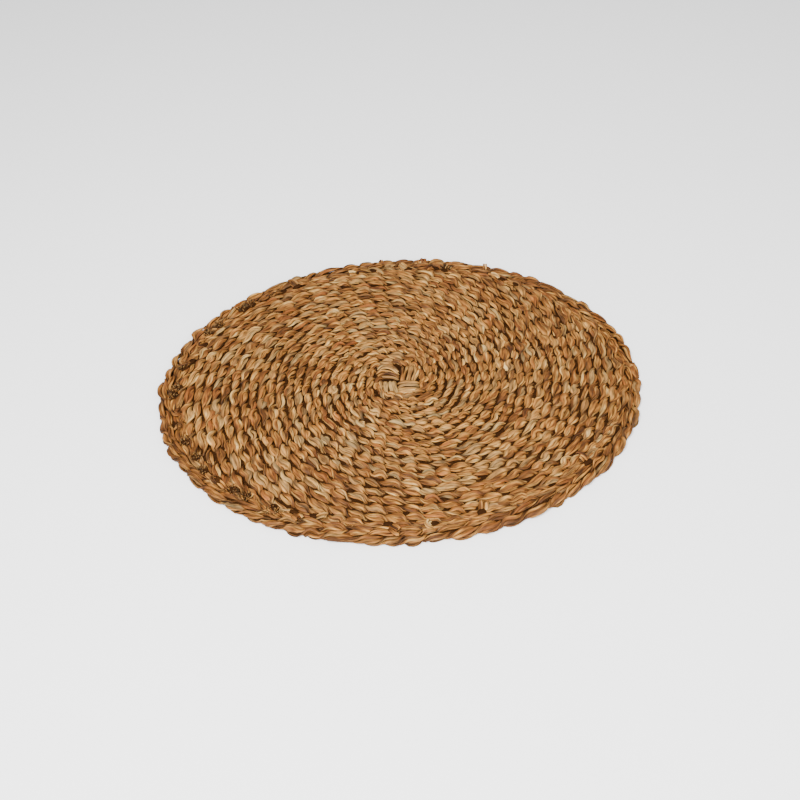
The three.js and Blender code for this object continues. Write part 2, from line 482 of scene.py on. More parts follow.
@dataclass(frozen=True)
class Parting:
    """How a strand parts into flat stems that lie side by side and turn in it.

    With the twist t, a stem's middle lies off the strand's by (width reach less the
    stem's share of the width) half widths times cos t across it, and by (height reach
    less the stem's share of the thickness) half thicknesses times sin t outward. The
    stems are evenly spread over the turn, and each strays a little from its place.

    Attributes:
        count: Number of stems.
        width: Share of the strand's width that a stem takes: a fixed part, and a part
            that the stems share out.
        height: The same for the thickness.
        width_reach: Half widths of the strand that hold its stems.
        height_reach: The same for the thickness.
        side: Departure of a stem across the strand.
        rise: Departure outward.
        uneven_width: Departure of its width, as a share.
        uneven_height: Departure of its thickness, as a share.
        tone: Departure of its tone.
        warmth: Departure of its warmth.
    """

    count: int = 3
    width: tuple[float, float] = (0.15, 1.0)
    height: tuple[float, float] = (0.25, 1.05)
    width_reach: float = 1.06
    height_reach: float = 1.1
    side: Stray = Stray(0.45 * MM, 12 * MM)
    rise: Stray = Stray(0.5 * MM, 9 * MM)
    uneven_width: Stray = Stray(0.2, 12 * MM)
    uneven_height: Stray = Stray(0.22, 11 * MM)
    tone: Stray = Stray(0.12, 21 * MM)
    warmth: Stray = Stray(0.14, 27 * MM)

    def stems(self, strand: Route, rng: np.random.Generator, twist: np.ndarray) -> list[Route]:
        """Parts a strand.

        Args:
            strand: Route of the whole strand.
            rng: Seeded source of the unevenness.
            twist: Angle by which the strand has twisted at each station.

        Returns:
            The stems' routes.
        """
        across, outward = strand.axes()
        along = strand.lengths()
        wide, high = (fixed + shared / self.count for fixed, shared in (self.width, self.height))
        made = []
        for number in range(self.count):
            lay = twist + FULL_TURN * number / self.count
            side = (self.width_reach - wide) * strand.half_width * np.cos(lay)
            side = side + self.side.along(rng, along)
            rise = (self.height_reach - high) * strand.half_height * np.sin(lay)
            rise = rise + self.rise.along(rng, along)
            stem = strand.cut(0, len(strand.middle))
            stem.middle = strand.middle + across * side[:, None] + outward * rise[:, None]
            stem.half_width = strand.half_width * wide * (1 + self.uneven_width.along(rng, along))
            stem.half_height = strand.half_height * high * (1 + self.uneven_height.along(rng, along))
            stem.tone = strand.tone + self.tone.along(rng, along)
            stem.warmth = strand.warmth + self.warmth.along(rng, along)
            made.append(stem)
        return made


@dataclass
class StemMesh:
    """Many flattened stems joined in one mesh.

    A stem is its section carried along its route. The section is an ellipse of the
    stem's width and thickness. Its outward half is raised by soft lengthwise ridges,
    height times (1 + depth times cos(ridges times angle + drift)), where the depth and
    the drift wander along the stem, and its inward half is flatter. What would reach
    below the table is pressed flat on it. The sides, and more the inward half, are darkened with
    painted shade.

    Attributes:
        name: Name of the piece.
        rng: Seeded source of the ridges' drift.
        outward_steps: Faces round the outward half.
        inward_steps: Faces round the inward half.
        ridges: Number of ridge waves over the outward half, times two.
        ridge_depth: Height of the ridges as a share of half the thickness.
        ridge_unevenness: Share by which that height changes along the stem.
        inward_flatness: Height of the inward half as a share of the outward one.
        drift: How far the ridges drift round the stem, as an angle.
        drift_length: Distance over which the ridges change.
        number_span: Span of the stems' own numbers, which part them in the noise.
        side_shade: Painted shade on the inward half.
        side_fade: Sine of the section's angle below which the dark starts, and how much
            lower it is full.
        cut_tone: Tone of the cut ends as a share of the stem's.
        cut_shade: Shade of the cut ends.
        points: Points so far, in blocks.
        quads: Faces of four corners so far.
        triangles: Faces of three corners, which close the stems' ends.
        fibre: Girth, length and number of the stem at each point.
        tint: Tone, warmth and shade at each point.
        size: Number of points so far.
    """

    name: str
    rng: np.random.Generator
    outward_steps: int = 5
    inward_steps: int = 2
    ridges: float = 3.0
    ridge_depth: float = 0.25
    ridge_unevenness: float = 0.7
    inward_flatness: float = 0.8
    drift: float = 4.0
    drift_length: float = 14 * MM
    number_span: float = 90.0
    side_shade: float = 0.9
    side_fade: tuple[float, float] = (0.65, 1.2)
    cut_tone: float = 0.6
    cut_shade: float = 0.5
    points: list[np.ndarray] = field(default_factory=list)
    quads: list[np.ndarray] = field(default_factory=list)
    triangles: list[np.ndarray] = field(default_factory=list)
    fibre: list[np.ndarray] = field(default_factory=list)
    tint: list[np.ndarray] = field(default_factory=list)
    size: int = 0

    def angles(self) -> np.ndarray:
        """Angles of the section's points, from one edge over the outward side and back."""
        over = np.linspace(0, math.pi, self.outward_steps + 1)
        under = np.linspace(math.pi, FULL_TURN, self.inward_steps + 1)[1:-1]
        return np.concatenate([over, under])

    def add(self, *routes: Route) -> None:
        """Adds stems, each closed at both ends.

        Args:
            routes: Way, size and colours of each stem.
        """
        for route in routes:
            ring = self.angles()
            self._shape(route, ring)
            self._dress(route, ring)
            self.size += len(route.middle) * len(ring) + 2

    def _shape(self, route: Route, ring: np.ndarray) -> None:
        """Adds the points and faces of one stem, as the class describes it."""
        count, sides = len(route.middle), len(ring)
        across, outward = route.axes()
        along = route.lengths()
        drift = self.drift * wander(self.rng, along, self.drift_length)[:, None]
        uneven = self.ridge_unevenness * wander(self.rng, along, self.drift_length)
        depth = self.ridge_depth * (1 + uneven)[:, None]
        over = np.sin(ring)[None, :]
        ridge = np.where(over > 0, 1 + depth * np.cos(self.ridges * ring[None, :] + drift), 1.0)
        rise = np.where(over > 0, over * ridge, over * self.inward_flatness)
        wide = route.half_width[:, None] * np.cos(ring)[None, :]
        high = route.half_height[:, None] * rise
        grid = (
            route.middle[:, None]
            + across[:, None] * wide[:, :, None]
            + outward[:, None] * high[:, :, None]
        )

        number = self.size + np.arange(count * sides).reshape(count, sides)
        beside = np.roll(number, -1, axis=1)
        quads = np.stack([number[:-1], number[1:], beside[1:], beside[:-1]], axis=-1)
        start, end = self.size + count * sides, self.size + count * sides + 1
        first = np.stack([np.full(sides, start), number[0], beside[0]], axis=-1)
        last = np.stack([np.full(sides, end), beside[-1], number[-1]], axis=-1)
        self.points += [grid.reshape(-1, 3), route.middle[[0, -1]]]
        self.quads.append(quads.reshape(-1, 4))
        self.triangles += [first, last]

    def _dress(self, route: Route, ring: np.ndarray) -> None:
        """Adds the place on the stem, and the tone, warmth and shade, of its points."""
        count, sides = len(route.middle), len(ring)
        blank = np.zeros((count, sides))
        girth = (ring / math.pi * 2 * np.mean(route.half_width))[None, :] + blank
        length = route.lengths()[:, None] + blank
        own = self.rng.uniform(0, self.number_span) + blank
        start, fade = self.side_fade
        # Painted shade on the sides and the inward half of the section.
        side = self.side_shade * ease((start - np.sin(ring)[None, :]) / fade)
        shade = np.clip(route.shade[:, None] + side, 0, 1)
        fibre = np.stack([girth, length, own], axis=-1)
        tint = np.stack([route.tone[:, None] + blank, route.warmth[:, None] + blank, shade], axis=-1)
        cut_ends = tint[[0, -1], sides // 4] * (self.cut_tone, 1, 0) + (0, 0, self.cut_shade)
        self.fibre += [fibre.reshape(-1, 3), fibre[[0, -1], 0]]
        self.tint += [tint.reshape(-1, 3), cut_ends]

    def build(self, material: bpy.types.Material, slot: Slot, *nodes: str) -> bpy.types.Object:
        """Makes the Blender object, which rides on the mat's body.

        Args:
            material: Finish of the piece.
            slot: Material slot of the record that the finish belongs to. Not used.
            nodes: CAD nodes that the piece stands for.

        Returns:
            The new object.
        """
        mesh = bpy.data.meshes.new(self.name)
        points = np.concatenate(self.points).astype(np.float32)
        points[:, 2] = np.maximum(points[:, 2], 0.0)
        quads = np.concatenate(self.quads).astype(np.int32)
        triangles = np.concatenate(self.triangles).astype(np.int32)
        corners = np.concatenate([quads.ravel(), triangles.ravel()])
        totals = np.repeat([4, 3], [len(quads), len(triangles)]).astype(np.int32)
        starts = np.concatenate([[0], np.cumsum(totals)[:-1]]).astype(np.int32)
        mesh.vertices.add(len(points))
        mesh.vertices.foreach_set("co", points.ravel())
        mesh.loops.add(len(corners))
        mesh.loops.foreach_set("vertex_index", corners)
        mesh.polygons.add(len(totals))
        mesh.polygons.foreach_set("loop_start", starts)
        mesh.polygons.foreach_set("loop_total", totals)
        mesh.polygons.foreach_set("use_smooth", totals == 4)
        for name, values in (("fibre", self.fibre), ("tint", self.tint)):
            layer = mesh.attributes.new(name, "FLOAT_VECTOR", "POINT")
            layer.data.foreach_set("vector", np.concatenate(values).astype(np.float32).ravel())
        mesh.update(calc_edges=True)
        mesh.validate()
        mesh.materials.append(material)
        piece = bpy.data.objects.new(self.name, mesh)
        bpy.context.scene.collection.objects.link(piece)
        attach(piece, BODY)
        if nodes:
            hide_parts(*nodes)
        LOG.info("%s: %d triangles", self.name, 2 * len(quads) + len(triangles))
        return piece


@dataclass
class Oval:
    """The mat's outline, an ellipse whose places are given by length along it.

    A place is an arc, the length along the outline counter-clockwise from +X, and an
    inset from the outline along its own inward direction.

    Attributes:
        half_length: Half of the long axis, along X.
        half_width: Half of the short axis, along Y.
        steps: Steps of the ellipse's own angle at which its length is added up.
    """

    half_length: float
    half_width: float
    steps: int = 1440

    @cached_property
    def lengths(self) -> np.ndarray:
        """Length of the outline up to each step of the ellipse's own angle."""
        angle = np.linspace(0, FULL_TURN, self.steps + 1)
        x, y = self.half_length * np.cos(angle), self.half_width * np.sin(angle)
        return np.concatenate([[0.0], np.cumsum(np.hypot(np.diff(x), np.diff(y)))])

    @property
    def perimeter(self) -> float:
        """Length of the whole outline."""
        return float(self.lengths[-1])

    def own_angle(self, arc: np.ndarray) -> np.ndarray:
        """The ellipse's own angle at an arc."""
        return np.interp(
            arc % self.perimeter, self.lengths, np.linspace(0, FULL_TURN, self.steps + 1)
        )

    def away(self, arc: np.ndarray) -> np.ndarray:
        """Angle about +Z of the outline's outward direction."""
        angle = self.own_angle(arc)
        return np.arctan2(np.sin(angle) / self.half_width, np.cos(angle) / self.half_length)

    def place(self, arc: np.ndarray, inset: np.ndarray, height: np.ndarray) -> np.ndarray:
        """Points (n, 3) at an arc, an inset and a height."""
        angle, away = self.own_angle(arc), self.away(arc)
        x = self.half_length * np.cos(angle) - inset * np.cos(away)
        y = self.half_width * np.sin(angle) - inset * np.sin(away)
        return np.stack([x, y, height + 0 * x], axis=-1)

    def room(self, x: np.ndarray, y: np.ndarray, inset: float) -> np.ndarray:
        """Distance of places inside the ellipse that is smaller by an inset.

        With F the square root of (x over its half length) squared plus (y over its half
        width) squared, the distance is one less F, over the length of F's slope.

        Args:
            x: Places along X.
            y: Places along Y.
            inset: How much smaller the ellipse is than the outline.

        Returns:
            Distances, positive inside.
        """
        length, width = self.half_length - inset, self.half_width - inset
        level = np.hypot(x / length, y / width)
        slope = np.hypot(x / length**2, y / width**2) / level
        return (1 - level) / slope


@dataclass
class SpokePlan:
    """Where the spokes stand under the rounds.

    The twining passes one spoke for each half turn of its pair of strands. Spokes are
    added as the mat grows, so each zone of whole rounds has its own number. Within a zone
    the spokes stand a little unevenly, and every round of the zone follows them.

    Attributes:
        start_radius: Radius of the middle of the first round, where it starts.
        start_angle: Angle where it starts.
        pitch: Distance from one round to the next.
        rng: Seeded source of the uneven places.
        zones: Number of rounds and of spokes in each zone, from the centre out.
        unevenness: How far a spoke may stand off its even place, as a share of the
            distance between two.
    """

    start_radius: float
    start_angle: float
    pitch: float
    rng: np.random.Generator
    zones: tuple[tuple[int, int], ...] = (
        (2, 16),
        (3, 28),
        (3, 38),
        (3, 45),
        (3, 51),
        (3, 58),
        (6, 64),
    )
    unevenness: float = 0.16

    def __post_init__(self) -> None:
        """Draws the uneven places of each zone's spokes."""
        self.offsets = [
            np.concatenate([[0.0], self.rng.uniform(-1, 1, spokes - 1) * self.unevenness])
            for _, spokes in self.zones
        ]

    @property
    def turns(self) -> int:
        """Number of whole rounds in all the zones."""
        return sum(rounds for rounds, _ in self.zones)

    def passed(self, turn: np.ndarray) -> np.ndarray:
        """Spokes passed since the start.

        In each zone the count is the spokes of the zones before, plus the zone's own
        number times the turns since it began, plus the spokes' uneven places.

        Args:
            turn: Turns round the mat since the start.

        Returns:
            The count, which is whole where the twining is over or under a spoke.
        """
        total = np.zeros_like(turn)
        begun, counted = 0, 0
        for (rounds, spokes), offsets in zip(self.zones, self.offsets):
            last = begun + rounds == self.turns
            inside = (turn >= begun) & ((turn < begun + rounds) | last)
            count = spokes * (turn[inside] - begun)
            uneven = np.interp(count % spokes, np.arange(spokes + 1), np.append(offsets, 0.0))
            total[inside] = counted + count + uneven
            begun += rounds
            counted += rounds * spokes
        return total

    def radius(self, turn: np.ndarray) -> np.ndarray:
        """Radius of the middle of the round: the start radius plus one pitch a turn."""
        return self.start_radius + self.pitch * turn

    def angle(self, turn: np.ndarray) -> np.ndarray:
        """Angle of the round about +Z."""
        return self.start_angle + FULL_TURN * turn

    def nearest_turn(self, radius: np.ndarray, angle: np.ndarray) -> np.ndarray:
        """Turn of the round that lies nearest a place on the mat.

        Args:
            radius: Distance from the centre.
            angle: Angle about +Z.

        Returns:
            Turns since the start, held inside the plan.
        """
        part = ((angle - self.start_angle) / FULL_TURN) % 1.0
        whole = np.round((radius - self.start_radius) / self.pitch - part)
        return part + np.clip(whole, 0, self.turns - 1)


@dataclass
class HandOfMaker:
    """The rounds' departure from true circles.

    The first rounds follow the square of the crossing, and all wander by a millimetre
    or two, each round following the one inside it.

    Attributes:
        square_radius: Radius by which the square form has faded.
        square_fade: Share of that radius over which it fades.
        squareness: Share of the radius by which the first rounds' corners stand out.
        waves: Lobes round the mat, size, phase and change along the radius.
    """

    square_radius: float
    square_fade: float = 0.6
    squareness: float = 0.05
    waves: tuple[tuple[int, float, float, float], ...] = (
        (2, 0.8 * MM, 1.0, 9.0),
        (3, 0.7 * MM, 0.4, 17.0),
        (5, 0.5 * MM, 2.1, -29.0),
        (8, 0.4 * MM, 4.4, 42.0),
        (13, 0.25 * MM, 1.2, -60.0),
    )

    def settle(self, radius: np.ndarray, angle: np.ndarray) -> np.ndarray:
        """Radius where a point of the round really lies.

        The radius is cut by the squareness times cos(four times the angle), which fades
        with the radius, and the waves are added: size times cos(lobes times angle +
        phase + change times radius).

        Args:
            radius: Even radius.
            angle: Angle about +Z.

        Returns:
            The settled radius.
        """
        inner = ease((self.square_radius - radius) / (self.square_radius * self.square_fade))
        settled = radius * (1 - self.squareness * inner * np.cos(4 * angle))
        for lobes, size, phase, change in self.waves:
            settled = settled + size * np.cos(lobes * angle + phase + change * radius)
        return settled


@dataclass
class Row:
    """The line that a twined pair follows, with one row for each station along it.

    Attributes:
        middle: Middle of the pair, (n, 3).
        away: Angle about +Z of the direction away from the mat's centre, (n,).
        passed: Spokes passed, whole over or under a spoke, (n,).
        spacing: Distance from one spoke to the next, (n,) or one number.
        rise: Height of a strand's middle over a spoke above the pair's middle, the same.
    """

    middle: np.ndarray
    away: np.ndarray
    passed: np.ndarray
    spacing: np.ndarray | float
    rise: np.ndarray | float


@dataclass
class Twining:
    """How a pair of strands is twined round the spokes, each strand a few flat stems.

    With the phase growing by half a turn for each spoke passed, and over standing for
    the size of cos(phase), a strand's middle stands off the pair's by
    sway times sin(phase) times (glide + (1 - glide) times (1 - over)) across the row and
    by rise times over to the lift power, up or down as cos(phase) says. It runs almost
    along the row over a spoke and crosses the other strand between two. Its flat face
    has turned by phase less half the flatness times sin(2 phase), so it lies flat over a
    spoke and turns over beside it. Its section goes from flat over a spoke to round
    where the strands cross, with over to the width power.

    Attributes:
        rng: Seeded source of the unevenness.
        sway: Distance of a strand from the pair's middle where the strands cross.
        glide: Share of that slope which is left over a spoke.
        crest_width: Half of a strand's width over a spoke.
        crest_height: Half of its thickness there.
        waist: Half of its width and thickness where the strands cross.
        flatness: How long the strand lies flat, from 0 to 1.
        lift_power: How long it stays high, less being longer.
        width_power: How long it stays wide, less being longer.
        slip: How far a stitch may lie off its place across the row.
        bulge: How far it may stand proud or low.
        scallop: How far a stitch stands out from the mat's centre.
        skew: Slope by which it may lie askew.
        plumpness: Share by which it may be wide or narrow.
        uneven_width: Departure of the strand's width, as a share, by stitches.
        spread: Share by which the longest stitches lie wider than the shortest.
        spread_from: Spacing of the spokes where that starts, and over which it grows.
        twist: Spokes passed in one turn of a strand's own stems.
        uneven_twist: Departure of that turn, by stitches.
        parting: How a strand parts into stems.
        tone: Usual tone of a stem.
        warmth: Usual warmth of a stem.
        strand_cast: How far a stitch's tone and warmth may stray.
        stem_cast: How far one stem's may stray besides.
        dive_shade: Painted shade where the strands cross and go out of sight.
        dive_power: How soon that fades, more being sooner.
    """

    rng: np.random.Generator
    sway: float = 1.3 * MM
    glide: float = 0.45
    crest_width: float = 4.2 * MM
    crest_height: float = 1.6 * MM
    waist: float = 2.5 * MM
    flatness: float = 0.8
    lift_power: float = 0.85
    width_power: float = 0.9
    slip: float = 1.5 * MM
    bulge: float = 0.6 * MM
    scallop: float = 0.0
    skew: float = 0.36
    plumpness: float = 0.28
    uneven_width: Stray = Stray(0.08, 1.7)
    spread: float = 0.16
    spread_from: tuple[float, float] = (12 * MM, 8 * MM)
    twist: float = 6.0
    uneven_twist: Stray = Stray(1.5, 2.5)
    parting: Parting = Parting(count=3)
    tone: float = 0.46
    warmth: float = 0.5
    strand_cast: tuple[float, float] = (0.11, 0.16)
    stem_cast: tuple[float, float] = (0.15, 0.19)
    dive_shade: float = 0.6
    dive_power: float = 2.5

    def strand(self, row: Row, half_turns: int, lay: Lay) -> list[Route]:
        """Works out one strand of the pair.

        Args:
            row: Line that the pair follows.
            half_turns: 0 for the first strand of the pair and 1 for the second.
            lay: Way in which the stitches move.

        Returns:
            The routes of the strand's stems.
        """
        stitch = row.passed + half_turns + 0.5
        phase = math.pi * (row.passed + half_turns)
        over = np.abs(np.cos(phase))
        swing = np.sin(phase) * (self.glide + (1 - self.glide) * (1 - over))
        off_crest = stitch - np.floor(stitch) - 0.5
        askew = self.skew * each_stitch(self.rng, stitch) * off_crest * row.spacing
        slip = self.slip * each_stitch(self.rng, stitch)
        side = lay.value * self.sway * swing + (askew + slip + self.scallop) * over
        bulge = self.bulge * each_stitch(self.rng, stitch)
        lift = (row.rise + bulge) * np.sign(np.cos(phase)) * over**self.lift_power
        turn = phase - self.flatness * np.sin(2 * phase) / 2
        grow = over**self.width_power
        width = 1 + self.plumpness * each_stitch(self.rng, stitch)
        width = width + self.uneven_width.along(self.rng, stitch)
        narrowest, wider = self.spread_from
        width = width * (1 + self.spread * ease((row.spacing - narrowest) / wider))
        tone_cast, warmth_cast = self.strand_cast
        whole = Route(
            middle=row.middle + polar(side, row.away, lift),
            outward=facing(row.away, UPWARD - lay.value * turn),
            half_width=(self.waist + (self.crest_width - self.waist) * grow) * width,
            half_height=self.waist + (self.crest_height - self.waist) * grow,
            tone=self.tone + tone_cast * each_stitch(self.rng, stitch),
            warmth=self.warmth + warmth_cast * each_stitch(self.rng, stitch),
            # Painted shade where the strand dives between the spokes.
            shade=self.dive_shade * (1 - over) ** self.dive_power,
        )
        turned = lay.value * FULL_TURN * stitch / self.twist
        made = self.parting.stems(whole, self.rng, turned + self.uneven_twist.along(self.rng, stitch))
        tone_cast, warmth_cast = self.stem_cast
        for stem in made:
            stem.tone = stem.tone + tone_cast * each_stitch(self.rng, stitch)
            stem.warmth = stem.warmth + warmth_cast * each_stitch(self.rng, stitch)
        return made


@dataclass
class TwinedField:
    """The woven field: a pair of strands twined round the spokes in one spiral.

    A new stem is put in where an old one ends, with its tip laid beside the other's. The
    spiral is cut where it runs out of the oval, and sinks there under the border.

    Attributes:
        plan: Where the spokes stand.
        hand: The rounds' departure from true circles.
        oval: The mat's outline.
        twining: How the pair is twined.
        finish: Material of the stems.
        rng: Seeded source of the unevenness.
        thickness: Thickness of the field over its crests.
        edge: Distance inside the outline where the rounds run out.
        crest_cut: Half thicknesses of a strand by which its middle lies below the top.
        sink: How far the rounds sink at the edge, and the distance over which they do.
        uneven_stitch: Departure of the stitches along the row, by stitches.
        steps: Stations for each spoke passed.
        fine_steps: Steps a turn at which the spokes passed are looked up.
        stem_stitches: Shortest and longest stem, in spokes passed.
        stem_cast: Usual change of tone and of warmth from stem to stem.
        tip_stitches: Length of a stem's thin tip, in spokes passed.
        tip_size: Share of the size left at a tip.
        tip_shade: Painted shade at a tip, where it goes out of sight.
        bands: Number of pieces that the field is joined in, to keep each one light.
    """

    plan: SpokePlan
    hand: HandOfMaker
    oval: Oval
    twining: Twining
    finish: bpy.types.Material
    rng: np.random.Generator
    thickness: float
    edge: float
    crest_cut: float = 0.95
    sink: tuple[float, float] = (2.4 * MM, 7 * MM)
    uneven_stitch: Stray = Stray(0.27, 1.4)
    steps: int = 8
    fine_steps: int = 1200
    stem_stitches: tuple[int, int] = (14, 40)
    stem_cast: tuple[float, float] = (0.09, 0.1)
    tip_stitches: float = 0.6
    tip_size: float = 0.35
    tip_shade: float = 0.7
    bands: int = 4

    def spiral(self, turns: float) -> Row:
        """Works out the line of the spiral.

        Args:
            turns: Its length in turns.

        Returns:
            The line, as if the mat were round.
        """
        fine = np.linspace(0, turns, int(turns * self.fine_steps))
        counted = self.plan.passed(fine)
        passed = np.arange(0, counted[-1], 1 / self.steps)
        turn = np.interp(passed, counted, fine)
        angle = self.plan.angle(turn)
        even = self.plan.radius(turn)
        spacing = FULL_TURN * even / np.gradient(passed, turn)
        middle = polar(self.hand.settle(even, angle), angle, self.thickness / 2)
        room = self.oval.room(middle[:, 0], middle[:, 1], self.edge)
        depth, length = self.sink
        middle[:, 2] -= depth * ease(1 - room / length)
        return Row(
            middle=middle,
            away=angle,
            passed=passed + self.uneven_stitch.along(self.rng, passed),
            spacing=spacing,
            rise=self.thickness / 2 - self.crest_cut * self.twining.crest_height,
        )

    def stems(self, whole: Route) -> list[Route]:
        """Cuts an endless stem into stems that overlap where one is spliced to the next.

        Args:
            whole: Route of the endless stem.

        Returns:
            The stems, each with its own cast of colour and a thin tip at either end.
        """
        cuts = [0]
        shortest, longest = self.stem_stitches
        while cuts[-1] < len(whole.middle) - shortest * self.steps:
            cuts.append(cuts[-1] + int(self.rng.integers(shortest, longest) * self.steps))
        cuts[-1] = len(whole.middle)
        tone_cast, warmth_cast = self.stem_cast
        made = []
        for first, last in zip(cuts[:-1], cuts[1:]):
            stem = whole.cut(max(first - self.steps // 2, 0), last)
            stem.tone = stem.tone + tone_cast * self.rng.normal()
            stem.warmth = stem.warmth + warmth_cast * self.rng.normal()
            made += self.inside(stem)
        return made

    def inside(self, stem: Route) -> list[Route]:
        """Cuts a stem where it runs out of the field, and thins its ends and darkens them with painted
        shade.

        Args:
            stem: The stem.

        Returns:
            The lengths that lie inside the field's edge.
        """
        within = self.oval.room(stem.middle[:, 0], stem.middle[:, 1], self.edge) > 0
        changes = np.flatnonzero(np.diff(within.astype(int))) + 1
        lengths = np.split(np.arange(len(within)), changes)
        kept = [each for each in lengths if within[each[0]] and len(each) > self.steps]
        stations = self.tip_stitches * self.steps
        return [
            stem.cut(each[0], each[-1] + 1).tapered(stations, self.tip_size, self.tip_shade)
            for each in kept
        ]

    def build(self, turns: float) -> list[bpy.types.Object]:
        """Makes the field.

        Args:
            turns: Length of the spiral in turns.

        Returns:
            The pieces, from the centre out.
        """
        line = self.spiral(turns)
        made = []
        for half_turns in range(2):
            for whole in self.twining.strand(line, half_turns, Lay.OUTWARD):
                made += self.stems(whole)
        made.sort(key=lambda stem: np.hypot(*stem.middle[len(stem.middle) // 2, :2]))
        share = sum(len(stem.middle) for stem in made) / self.bands
        meshes = [StemMesh(f"weft_rounds_{i + 1}", self.rng) for i in range(self.bands)]
        laid = 0
        for stem in made:
            meshes[min(int(laid / share), self.bands - 1)].add(stem)
            laid += len(stem.middle)
        return [mesh.build(self.finish, Slot.WEAVE, "woven_field") for mesh in meshes]


@dataclass(frozen=True)
class BorderRow:
    """One twined row of the border, sizes in millimetres.

    Attributes:
        inset: Middle of the row inside the outline.
        height: Height of the row's middle.
        rise: Height of a crest's middle above that.
        crest_width: Half of a strand's width over a spoke.
        crest_height: Half of its thickness there.
        waist: Half of its width and thickness where the strands cross.
        sway: Distance of a strand from the row's middle where they cross.
        scallop: How far a stitch stands out over the edge.
        lay: Way in which the stitches move.
    """

    inset: float
    height: float
    rise: float
    crest_width: float
    crest_height: float
    waist: float
    sway: float
    scallop: float
    lay: Lay

    def twining(self, usual: Twining) -> Twining:
        """Returns the usual twining with this row's sizes."""
        return replace(
            usual,
            sway=self.sway * MM,
            crest_width=self.crest_width * MM,
            crest_height=self.crest_height * MM,
            waist=self.waist * MM,
            scallop=self.scallop * MM,
        )


@dataclass
class Border:
    """The border: four twined rows of doubled spoke ends.

    The outermost row is the thickest. It lies along the edge like a rope, and each of its
    crests stands out a little.

    Attributes:
        oval: The mat's outline.
        twining: How the rows are twined, but for their own sizes.
        finish: Material of the border's stems.
        rng: Seeded source of the unevenness.
        spokes: Number of spoke ends round the mat.
        rows: The twined rows, from the edge inward.
        steps: Stations for each spoke end passed.
        uneven_inset: Departure of a row across the border, by stitches.
        uneven_stitch: Departure of the stitches along the row, by stitches.
        drift_length: Distance over which the stems' ridges change.
    """

    oval: Oval
    twining: Twining
    finish: bpy.types.Material
    rng: np.random.Generator
    spokes: int
    rows: tuple[BorderRow, ...] = (
        BorderRow(4.4, 4.3, 2.2, 3.3, 1.8, 2.3, 0.9, 0.7, Lay.INWARD),
        BorderRow(9.6, 4.9, 1.9, 2.5, 1.5, 1.9, 0.4, 0.0, Lay.INWARD),
        BorderRow(14.2, 4.5, 2.0, 2.5, 1.5, 1.9, 0.3, 0.0, Lay.OUTWARD),
        BorderRow(18.8, 4.2, 2.0, 2.7, 1.6, 2.0, 0.6, 0.0, Lay.OUTWARD),
    )
    steps: int = 8
    uneven_inset: Stray = Stray(0.6 * MM, 3.0)
    uneven_stitch: Stray = Stray(0.3, 1.5)
    drift_length: float = 18 * MM

    def build(self) -> bpy.types.Object:
        """Makes the twined rows as one piece."""
        mesh = StemMesh("border_rows", self.rng, drift_length=self.drift_length)
        for row in self.rows:
            line = self.line(row)
            for half_turns in range(2):
                mesh.add(*row.twining(self.twining).strand(line, half_turns, row.lay))
        return mesh.build(self.finish, Slot.BORDER, "plaited_border")

    def line(self, row: BorderRow) -> Row:
        """Works out the line of one row, once round the mat and half a stitch on.

        Args:
            row: Sizes of the row.

        Returns:
            The line.
        """
        passed = np.arange(0, self.spokes + 0.5, 1 / self.steps)
        arc = passed / self.spokes * self.oval.perimeter
        inset = row.inset * MM + self.uneven_inset.along(self.rng, passed)
        start = self.rng.uniform()
        return Row(
            middle=self.oval.place(arc, inset, row.height * MM),
            away=self.oval.away(arc),
            passed=passed + start + self.uneven_stitch.along(self.rng, passed),
            spacing=self.oval.perimeter / self.spokes,
            rise=row.rise * MM,
        )


@dataclass(frozen=True)
class TallTip:
    """A tip that was left long and leans back over the edge, sizes in millimetres.

    Attributes:
        share: Its place as a share of the outline.
        inset: Where it starts inside the outline.
        length: Its length.
        half_width: Half of its width.
    """

    share: float
    inset: float
    length: float
    half_width: float


